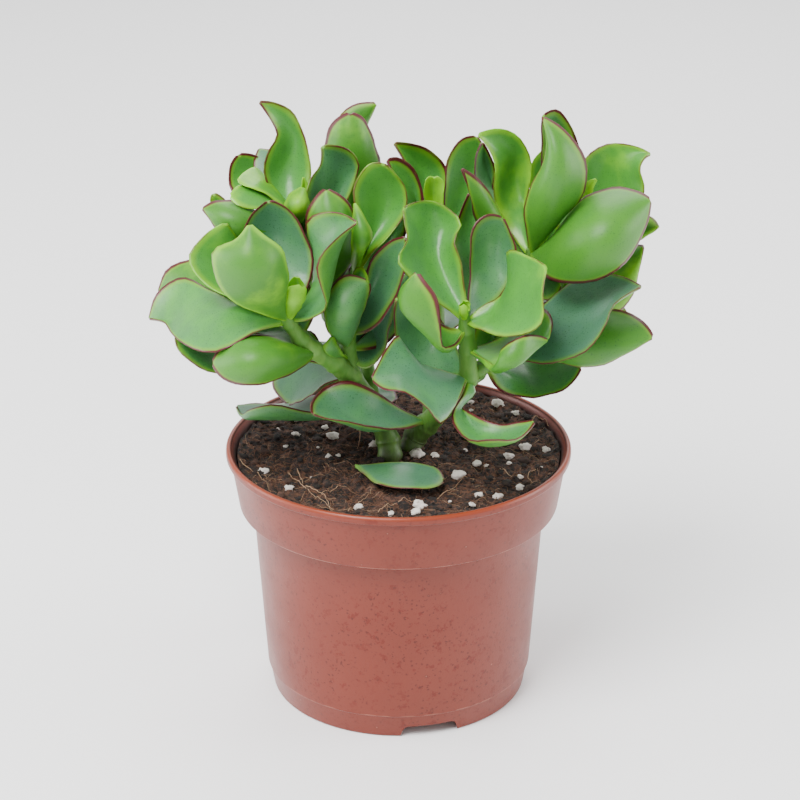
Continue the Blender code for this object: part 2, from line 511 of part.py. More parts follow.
def blade(mesh, left, middle, right, thickness):
    """A fleshy leaf: a lens in section, with its two faces split into triangles alike."""
    share = np.linalg.norm(middle[-1] - middle[0]) / FULL_LENGTH
    thickness *= min(1.0, THINNEST + (1 - THINNEST) * share)
    across = np.array(ACROSS)[None, :, None]
    sheet = middle[:, None] + across * (right - left)[:, None] / 2
    sheet = sheet + across**2 * ((left + right) / 2 - middle)[:, None]
    normal = np.cross(np.gradient(sheet, axis=1), np.gradient(sheet, axis=0))
    normal /= np.maximum(np.linalg.norm(normal, axis=2, keepdims=True), 1e-9)
    last = len(middle) - 1
    plump = thickness / 2 * np.sqrt(1 - across[0, :, 0] ** 2)
    ends = [mesh.verts.new(middle[0] * MM), mesh.verts.new(middle[last] * MM)]
    faces = []
    for sign in (1, -1):
        rows = []
        for i in range(1, last):
            taper = min(1.0, 0.75 + 0.5 * i / last, 0.45 + 1.6 * (last - i) / last)
            lift = sign * taper * plump[:, None] * normal[i]
            if sign < 0:
                row = [faces[0][i - 1][0]]
                row += [mesh.verts.new(co * MM) for co in (sheet[i] + lift)[1:-1]]
                row += [faces[0][i - 1][-1]]
            else:
                row = [mesh.verts.new(co * MM) for co in sheet[i] + lift]
            rows.append(row)
        faces.append(rows)
    for rows, flip in ((faces[0], False), (faces[1], True)):
        for a, b in zip(rows, rows[1:]):
            for j in range(len(a) - 1):
                add_triangle(mesh, (a[j], a[j + 1], b[j]), flip)
                add_triangle(mesh, (a[j + 1], b[j + 1], b[j]), flip)
        for j in range(len(rows[0]) - 1):
            add_triangle(mesh, (ends[0], rows[0][j + 1], rows[0][j]), flip)
            add_triangle(mesh, (ends[1], rows[-1][j], rows[-1][j + 1]), flip)


def add_triangle(mesh, corners, flip):
    mesh.faces.new(corners[::-1] if flip else corners)


def stem_path(points, deep):
    """A stem's places and radii in mm, with a ring at each node. A deep stem goes on straight down."""
    places = [seen(*point[:3]) for point in points]
    radii = [point[3] for point in points]
    if deep:
        places.insert(0, places[0] - np.array([0.0, 0.0, STEM_DEPTH]))
        radii.insert(0, radii[0])
    path = []
    for i, (place, radius) in enumerate(zip(places, radii)):
        path.append((place, radius * (NODE_SWELL if 1 < i < len(places) - 1 else 1.0)))
        if i + 2 < len(places) and not (deep and i == 0):
            path.append(((place + places[i + 1]) / 2, (radius + radii[i + 1]) / 2 * STEM_WAIST))
    return path


def add_stem(mesh, path):
    """A tapered tube with closed ends along the path."""
    rings = []
    side = np.array([1.0, 0.0, 0.0])
    for i, (place, radius) in enumerate(path):
        ahead = path[min(i + 1, len(path) - 1)][0] - path[max(i - 1, 0)][0]
        ahead = ahead / np.linalg.norm(ahead)
        side = side - ahead * side.dot(ahead)
        side = side / np.linalg.norm(side)
        other = np.cross(ahead, side)
        ring = []
        for k in range(STEM_SIDES):
            turn = 2 * math.pi * k / STEM_SIDES
            spot = place + radius * (math.cos(turn) * side + math.sin(turn) * other)
            ring.append(mesh.verts.new(spot * MM))
        rings.append(ring)
    for a, b in zip(rings, rings[1:]):
        for k in range(STEM_SIDES):
            n = (k + 1) % STEM_SIDES
            mesh.faces.new((a[k], a[n], b[n], b[k]))
    mesh.faces.new(rings[0][::-1])
    mesh.faces.new(rings[-1])


def object_of(name, fill, material=None):
    """An object whose mesh is made by fill."""
    mesh = bmesh.new()
    fill(mesh)
    data = bpy.data.meshes.new(name)
    mesh.to_mesh(data)
    mesh.free()
    thing = bpy.data.objects.new(name, data)
    bpy.context.collection.objects.link(thing)
    if material:
        data.materials.append(material)
    return thing


def material_of(name):
    colour, roughness = FINISHES[name]
    material = bpy.data.materials.new(name)
    material.use_nodes = True
    shader = material.node_tree.nodes["Principled BSDF"]
    shader.inputs["Base Color"].default_value = colour
    shader.inputs["Roughness"].default_value = roughness
    shader.inputs["Metallic"].default_value = 0.0
    return material


def join(target, others, operation, solver="EXACT"):
    """Joins the other objects to the target, or cuts them from it, and removes them."""
    group = bpy.data.collections.new("repeats")
    bpy.context.scene.collection.children.link(group)
    for other in others:
        bpy.context.collection.objects.unlink(other)
        group.objects.link(other)
    modifier = target.modifiers.new("join", "BOOLEAN")
    modifier.operation = operation
    modifier.solver = solver
    modifier.operand_type = "COLLECTION"
    modifier.collection = group
    if solver == "EXACT":
        modifier.use_self = operation == "UNION"
    bpy.context.view_layer.objects.active = target
    bpy.ops.object.modifier_apply(modifier=modifier.name)
    for other in others:
        bpy.data.objects.remove(other)
    bpy.data.collections.remove(group)


def soil_height(x, y):
    """The soil's top in mm: mounded a little round the stems and uneven."""
    mound = SOIL_MOUND * math.exp(-(x * x + y * y) / SOIL_MOUND_SPREAD**2)
    rise = SOIL_BACK_RISE * max(0.0, y) / RIM_RADIUS
    wave = SOIL_WAVE * math.sin(0.21 * x + 1.3) * math.cos(0.19 * y)
    return SOIL_LEVEL + mound + rise + wave + SOIL_RIPPLE * math.sin(0.47 * x - 0.38 * y)


def wall_radius(height):
    """The pot's inner radius at a height."""
    heights = (0.0, SEAM_HEIGHT, STEP_FOOT, STEP_TOP, RIM_HEIGHT)
    radii = (BASE_RADIUS, SEAM_RADIUS, BODY_TOP_RADIUS, COLLAR_FOOT_RADIUS, COLLAR_TOP_RADIUS)
    return float(np.interp(height, heights, radii)) - WALL


def make_pot(material):
    """The pot, turned from its profile, with drain holes and notches in its base ring."""
    lip_foot = RIM_HEIGHT - LIP_DEPTH
    inner_base = BASE_RADIUS - RING_WIDTH
    profile = (
        (RIM_RADIUS - 1.0, RIM_HEIGHT), (RIM_RADIUS - 0.2, RIM_HEIGHT - 0.6), (RIM_RADIUS, RIM_HEIGHT - 1.3),
        (RIM_RADIUS - 0.3, lip_foot + 0.3), (COLLAR_TOP_RADIUS, lip_foot),
        (COLLAR_FOOT_RADIUS + 0.1, COLLAR_FOOT_HEIGHT + 0.5), (COLLAR_FOOT_RADIUS - 0.4, COLLAR_FOOT_HEIGHT),
        (BODY_TOP_RADIUS + 0.3, COLLAR_FOOT_HEIGHT), (BODY_TOP_RADIUS, COLLAR_FOOT_HEIGHT - 0.6),
        (SEAM_RADIUS, SEAM_HEIGHT), (SEAM_RADIUS - 0.5, SEAM_HEIGHT - 0.4), (BASE_RADIUS + 0.4, 0.9),
        (BASE_RADIUS - 0.4, 0.0), (inner_base + 0.3, 0.0), (inner_base, 0.4), (inner_base, FLOOR_HEIGHT),
        (0.0, FLOOR_HEIGHT), (0.0, FLOOR_HEIGHT + FLOOR_THICKNESS),
        (SEAM_RADIUS - WALL - FLOOR_CORNER, FLOOR_HEIGHT + FLOOR_THICKNESS), (SEAM_RADIUS - WALL, SEAM_HEIGHT + 0.5),
        (wall_radius(STEP_FOOT), STEP_FOOT), (wall_radius(STEP_TOP), STEP_TOP),
        (COLLAR_TOP_RADIUS - WALL, lip_foot + 0.4), (RIM_RADIUS - 1.8, RIM_HEIGHT - 0.7),
    )

    def fill(mesh):
        rings = [turned_ring(mesh, radius, height, POT_SIDES) for radius, height in profile]
        for a, b in zip(rings, rings[1:] + rings[:1]):
            skin_rings(mesh, a, b)
        bmesh.ops.recalc_face_normals(mesh, faces=mesh.faces)

    pot = object_of("pot", fill, material)
    cutters = [notch_cutter(NOTCH_MIDDLE + 2 * math.pi * k / NOTCH_COUNT) for k in range(NOTCH_COUNT)]
    for k in range(DRAIN_HOLES):
        turn = 2 * math.pi * (k + 0.5) / DRAIN_HOLES
        spot = (DRAIN_RING * math.cos(turn), DRAIN_RING * math.sin(turn), FLOOR_HEIGHT)
        cutters.append(cylinder(spot, DRAIN_RADIUS, DRAIN_CUT))
    join(pot, cutters, "DIFFERENCE")
    smooth(pot)


def turned_ring(mesh, radius, height, sides):
    """A ring of points round the axis, or one point on it."""
    if radius == 0.0:
        return [mesh.verts.new((0, 0, height * MM))]
    turns = [2 * math.pi * k / sides for k in range(sides)]
    return [mesh.verts.new((radius * MM * math.cos(t), radius * MM * math.sin(t), height * MM)) for t in turns]


def skin_rings(mesh, a, b):
    """Faces between two rings, either of which may be one point."""
    sides = max(len(a), len(b))
    if sides == 1:
        return
    for k in range(sides):
        n = (k + 1) % sides
        if len(a) == 1:
            mesh.faces.new((a[0], b[k], b[n]))
        elif len(b) == 1:
            mesh.faces.new((a[k], b[0], a[n]))
        else:
            mesh.faces.new((a[k], b[k], b[n], a[n]))


def notch_cutter(heading):
    """A wedge through the base ring, narrower at its top. Heading is from -Y towards +X."""
    outward = np.array([math.sin(heading), -math.cos(heading), 0.0])
    aside = np.array([math.cos(heading), math.sin(heading), 0.0])
    section = (
        (-NOTCH_WIDTH / 2, -1.0), (NOTCH_WIDTH / 2, -1.0), (NOTCH_WIDTH / 2 - 0.4, NOTCH_HEIGHT - 2.2),
        (NOTCH_TOP_WIDTH / 2, NOTCH_HEIGHT), (-NOTCH_TOP_WIDTH / 2, NOTCH_HEIGHT),
        (0.4 - NOTCH_WIDTH / 2, NOTCH_HEIGHT - 2.2),
    )

    def fill(mesh):
        ends = []
        for radius in (BASE_RADIUS - 6, BASE_RADIUS + 4):
            spots = [outward * radius + aside * u + np.array([0, 0, w]) for u, w in section]
            ends.append([mesh.verts.new(spot * MM) for spot in spots])
        mesh.faces.new(ends[0])
        mesh.faces.new(ends[1][::-1])
        for k in range(len(section)):
            n = (k + 1) % len(section)
            mesh.faces.new((ends[0][k], ends[1][k], ends[1][n], ends[0][n]))
        bmesh.ops.recalc_face_normals(mesh, faces=mesh.faces)

    return object_of("notch", fill)


def cylinder(middle, radius, length):
    def fill(mesh):
        bmesh.ops.create_cone(
            mesh, cap_ends=True, segments=CUTTER_SIDES, radius1=radius * MM, radius2=radius * MM, depth=length * MM
        )
        bmesh.ops.translate(mesh, verts=mesh.verts, vec=[value * MM for value in middle])

    return object_of("cylinder", fill)


def smooth(thing):
    """Smooth shading, with the corners kept."""
    thing.data.shade_smooth()
    thing.data.set_sharp_from_angle(angle=SHARP_ANGLE)


def make_soil(material):
    """The soil that fills the pot, with grains on it and a plain hole for each stem."""
    floor = FLOOR_HEIGHT + FLOOR_THICKNESS + SOIL_GAP
    levels = (floor, SEAM_HEIGHT + FLOOR_CORNER, STEP_FOOT, STEP_TOP, SOIL_LEVEL - SOIL_EDGE_DROP)

    def fill(mesh):
        rings = []
        for radius in SOIL_RINGS:
            ring = turned_ring(mesh, radius, SOIL_LEVEL, SOIL_SIDES)
            for vert in ring:
                vert.co.z = soil_height(vert.co.x / MM, vert.co.y / MM) * MM
            rings.append(ring)
        for level in reversed(levels):
            inner = wall_radius(level) - SOIL_GAP - (FLOOR_CORNER if level == floor else 0.0)
            lift = SOIL_GAP if STEP_FOOT <= level <= STEP_TOP else 0.0
            rings.append(turned_ring(mesh, inner, level + lift, SOIL_SIDES))
        rings.append(turned_ring(mesh, 0.0, floor, SOIL_SIDES))
        for a, b in zip(rings, rings[1:]):
            skin_rings(mesh, a, b)
        bmesh.ops.recalc_face_normals(mesh, faces=mesh.faces)

    soil = object_of("soil", fill, material)
    join(soil, [grain(x, y, radius) for x, y, radius in grain_places()], "UNION")
    holes = []
    for letter in ROOTED:
        across, down, near, radius = STEMS[letter][0]
        holes.append(cylinder(seen(across, down, near), radius + HOLE_GAP, 2 * (STEM_DEPTH + HOLE_GAP)))
    join(soil, holes, "DIFFERENCE")
    drop_scraps(soil)


def grain_places():
    """Each grain's place and radius: those in the photograph, then some where it doesn't look."""
    places = []
    for across, down, radius in GRAINS:
        x, y, _ = seen_at_height(across, down, soil_height)
        inward = min(1.0, SOIL_REACH / math.hypot(x, y))
        places.append((x * inward, y * inward, radius))
    draw = random.Random(5)
    while len(places) < len(GRAINS) + HIDDEN_GRAINS:
        turn = draw.uniform(0, math.pi)
        reach = draw.uniform(*HIDDEN_GRAIN_REACH)
        places.append((reach * math.cos(turn), reach * math.sin(turn), draw.uniform(*HIDDEN_GRAIN_RADII)))
    return places


def grain(x, y, radius):
    """A lump, sunk into the soil by part of its height."""
    draw = random.Random(round(100 * x + y))

    def fill(mesh):
        bmesh.ops.create_icosphere(mesh, subdivisions=1, radius=radius * MM)
        turn = draw.uniform(0, math.pi)
        for vert in mesh.verts:
            stretch = draw.uniform(1 - GRAIN_UNEVEN, 1 + GRAIN_UNEVEN)
            u = vert.co.x * math.cos(turn) - vert.co.y * math.sin(turn)
            w = vert.co.x * math.sin(turn) + vert.co.y * math.cos(turn)
            top = (soil_height(x, y) + GRAIN_LIFT * radius) * MM
            vert.co = (x * MM + u * stretch, y * MM + w * GRAIN_DEPTH, top + vert.co.z * GRAIN_HEIGHT)

    return object_of("grain", fill)


def make_plants(material):
    """The two cuttings: each one body of stems with its leaves joined on."""
    paths = {letter: stem_path(points, letter in ROOTED) for letter, points in STEMS.items()}
    fine = {letter: curve_through([place for place, _ in path], PATH_STEPS + 1) for letter, path in paths.items()}
    for name, letters in PLANTS.items():
        stems = [object_of("stem", lambda mesh, p=paths[k]: add_stem(mesh, p)) for k in letters]
        leaves = [leaf_object(leaf_rails(leaf, seen, fine[leaf.stem])) for leaf in LEAVES if leaf.stem in letters]
        leaves += [leaf_object(rails) for rails in hidden_leaves(fine, letters)]
        plant = stems.pop(0)
        plant.name = name
        plant.data.name = name
        plant.data.materials.append(material)
        join(plant, stems + leaves, "UNION", "MANIFOLD")
        drop_scraps(plant)


def drop_scraps(thing):
    """Removes all but the largest body: loose scraps, and hollows that the joining sealed."""
    mesh = bmesh.new()
    mesh.from_mesh(thing.data)
    left = set(mesh.faces)
    bodies = []
    while left:
        body = {left.pop()}
        front = list(body)
        while front:
            face = front.pop()
            new = {n for link in face.edges if len(link.link_faces) == 2 for n in link.link_faces} - body
            body |= new
            front += new
        left -= body
        bodies.append(body)
    bodies.sort(key=len)
    for body in bodies[:-1]:
        bmesh.ops.delete(mesh, geom=list(body), context="FACES")
    mesh.to_mesh(thing.data)
    mesh.free()


def hidden_leaves(paths, letters):
    """The curves of each leaf in HIDDEN_LEAVES that grows from one of these stems."""
    for number, (letter, up, heading, rise, length) in enumerate(HIDDEN_LEAVES):
        if letter in letters:
            base = paths[letter][round(PATH_STEPS * up)]
            yield hidden_rails(base, math.radians(heading), math.radians(rise), length, HIDDEN_PHASE * number)


def leaf_object(rails):
    return object_of("leaf", lambda mesh: blade(mesh, *rails, LEAF_THICKNESS))


def make_fallen_leaf(material):
    """A leaf that lies on the soil: here a point's third number is its height above the soil."""

    def place(across, down, lift):
        return seen_at_height(across, down, lambda x, y: FALLEN_LEVEL + lift)

    object_of("fallen_leaf", lambda mesh: blade(mesh, *leaf_rails(FALLEN_LEAF, place), FALLEN_THICKNESS), material)


def main():
    for thing in list(bpy.data.objects):
        bpy.data.objects.remove(thing)
    make_pot(material_of("pot"))
    make_soil(material_of("soil"))
    make_plants(material_of("leaf"))
    make_fallen_leaf(material_of("fallen"))


main()
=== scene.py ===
"""A potted silver dollar jade: the fine surface of its pot, soil, stems and waved leaves.

Sizes are in millimetres until a point becomes a vertex. Every leaf is a ball pressed into a blade
between three curves, whose points are those of the part: across and down in the photograph, and how
much nearer than the pot's axis they lie, in millimetres.
"""

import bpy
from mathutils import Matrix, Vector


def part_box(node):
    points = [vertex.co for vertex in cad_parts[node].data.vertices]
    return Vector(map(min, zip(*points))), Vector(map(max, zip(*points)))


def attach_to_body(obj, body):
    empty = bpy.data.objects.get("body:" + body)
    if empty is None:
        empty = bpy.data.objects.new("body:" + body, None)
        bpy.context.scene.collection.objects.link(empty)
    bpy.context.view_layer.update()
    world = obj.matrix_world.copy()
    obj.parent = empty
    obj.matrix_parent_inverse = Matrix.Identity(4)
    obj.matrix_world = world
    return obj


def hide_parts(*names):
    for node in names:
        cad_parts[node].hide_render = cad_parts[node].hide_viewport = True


bl_info = {
    "name": "Potted silver dollar jade",
    "version": (1, 0, 0),
    "blender": (4, 5, 0),
    "location": "3D View > Sidebar > Jade",
    "description": "Dresses the pot, the soil, the stems and the leaves of a small jade plant",
    "category": "Object",
}

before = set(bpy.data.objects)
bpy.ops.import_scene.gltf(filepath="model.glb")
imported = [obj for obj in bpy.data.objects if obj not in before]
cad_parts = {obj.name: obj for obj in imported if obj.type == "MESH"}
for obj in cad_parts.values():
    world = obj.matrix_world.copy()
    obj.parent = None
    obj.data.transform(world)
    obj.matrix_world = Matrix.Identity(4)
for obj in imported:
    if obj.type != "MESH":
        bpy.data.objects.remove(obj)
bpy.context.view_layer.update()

import math
import random
from collections import namedtuple

import bmesh
import bpy
import numpy as np
from mathutils import Vector, noise

POT_LOW, POT_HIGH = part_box("pot")
MM = 0.001

# The viewpoint of the photograph, which turns a point of it into a place
FRAME_CENTRE = 400.0
FOCAL_PIXELS = 2600.0
VIEW_DISTANCE = 904.1
VIEW_TILT = math.radians(23.65)
VIEW_SIDE = 0.504
VIEW_RISE = 14.75
RIM_HEIGHT = POT_HIGH[2] / MM
RIM_RADIUS = POT_HIGH[0] / MM
CAMERA_PLACE = (0.0005, -0.8222, 0.4675)
SENSOR_WIDTH = 36.0

# The pot's sections, in millimetres
LIP_DEPTH = 2.8
LIP_WIDTH = 1.6
INSIDE_REACH = 0.3
COLLAR_TOP_RADIUS = 58.5
COLLAR_FOOT_RADIUS = 55.7
COLLAR_FOOT_HEIGHT = 70.3
BODY_TOP_RADIUS = 50.9
SEAM_HEIGHT = 8.8
SEAM_RADIUS = 46.8
BASE_RADIUS = 44.6
RING_WIDTH = 2.2
FLOOR_HEIGHT = 4.9
FLOOR_THICKNESS = 1.5
NOTCH_COUNT = 3
NOTCH_HEIGHT = 4.3
NOTCH_WIDTH = 23.5
NOTCH_TOP_WIDTH = 18.0
NOTCH_MIDDLE = math.radians(14)
DRAIN_HOLES = 6
DRAIN_RADIUS = 3.5
DRAIN_RING = 30.0
TURN_STEPS = 160

# The soil, in millimetres
SOIL_LEVEL = 86.6
SOIL_MOUND = 1.2
SOIL_MOUND_SPREAD = 26.0
SOIL_BACK_RISE = 2.5
SOIL_WAVE = 0.6
SOIL_RIPPLE = 0.3
SOIL_REACH = 52.5
SOIL_EDGE = 56.0
SOIL_BANK_START = 49.0
CRUMB_RISE = 1.2
CRUMB_SPREAD = 3.6
STEM_DEPTH = 12.0

# Leaves and stems, in millimetres
RIM_STEPS = 20
LENGTH_STEPS = 26
HIDDEN_BANDS = 5
FULL_LENGTH = 30.0
THINNEST = 0.4
TIP_TRIM = 0.95
SECTION = 0.96
EDGE_KEEN = 0.6
EDGE_RIPPLE = 0.3
FALLEN_RIPPLE = 0.5
NODE_SWELL = 1.14
NODE_LENGTH = 1.3
STEM_WAIST = 0.97
STEM_STEPS = 90
PATH_STEPS = 100
PATH_END = 5
HIDDEN_PHASE = 1.7
CURVE_SAMPLES = 160
HEIGHT_ROUNDS = 12

# A stem is points of the photograph, (across, down, nearness in mm, radius in mm), from below upwards
STEMS = {
    "A": ((390, 455, 5, 4.0), (388, 440, 3, 4.0), (378, 415, 3, 3.8), (364, 396, 5, 3.7), (352, 378, 8, 3.6),
          (334, 362, 14, 3.4), (314, 350, 19, 3.1), (300, 338, 22, 2.9), (289, 322, 26, 2.4), (287, 312, 28, 1.5)),
    "B": ((352, 380, 8, 2.9), (345, 350, 0, 2.8), (330, 315, -8, 2.7), (312, 275, -11, 2.6),
          (300, 240, -10, 2.4), (296, 210, -8, 1.5)),
    "C": ((364, 396, 5, 2.9), (352, 370, 7, 2.7), (348, 345, 9, 2.6), (351, 315, 7, 2.5),
          (353, 285, 3, 2.2), (355, 270, 2, 1.5)),
    "K": ((374, 408, 3, 2.8), (366, 360, -8, 2.6), (358, 300, -20, 2.5), (354, 245, -29, 2.3), (352, 200, -31, 1.5)),
    "D": ((412, 445, -3, 4.0), (415, 437, -4, 4.0), (427, 424, -2, 3.9), (446, 405, 6, 3.7), (460, 390, 13, 3.5),
          (468, 377, 18, 3.2), (468, 350, 21, 3.0), (466, 330, 23, 2.7), (464, 312, 25, 1.5)),
    "F": ((467, 378, 17, 2.6), (478, 371, 16, 2.4), (488, 364, 13, 2.3), (499, 357, 10, 1.5)),
    "E": ((462, 388, 14, 2.9), (478, 372, 6, 2.8), (500, 345, 2, 2.7), (518, 310, 0, 2.6),
          (527, 275, -2, 2.4), (531, 248, 0, 1.5)),
    "H": ((498, 348, 2, 2.6), (520, 335, -6, 2.5), (550, 300, -14, 2.4), (574, 262, -20, 2.2), (586, 232, -22, 1.5)),
    "M": ((430, 422, 0, 2.9), (432, 385, -10, 2.8), (437, 330, -18, 2.6), (438, 280, -26, 2.4), (436, 226, -29, 1.5)),
}
STEM_PLANT = {"plant_left": "ABCK", "plant_right": "DFEHM"}
ROOTED = "AD"

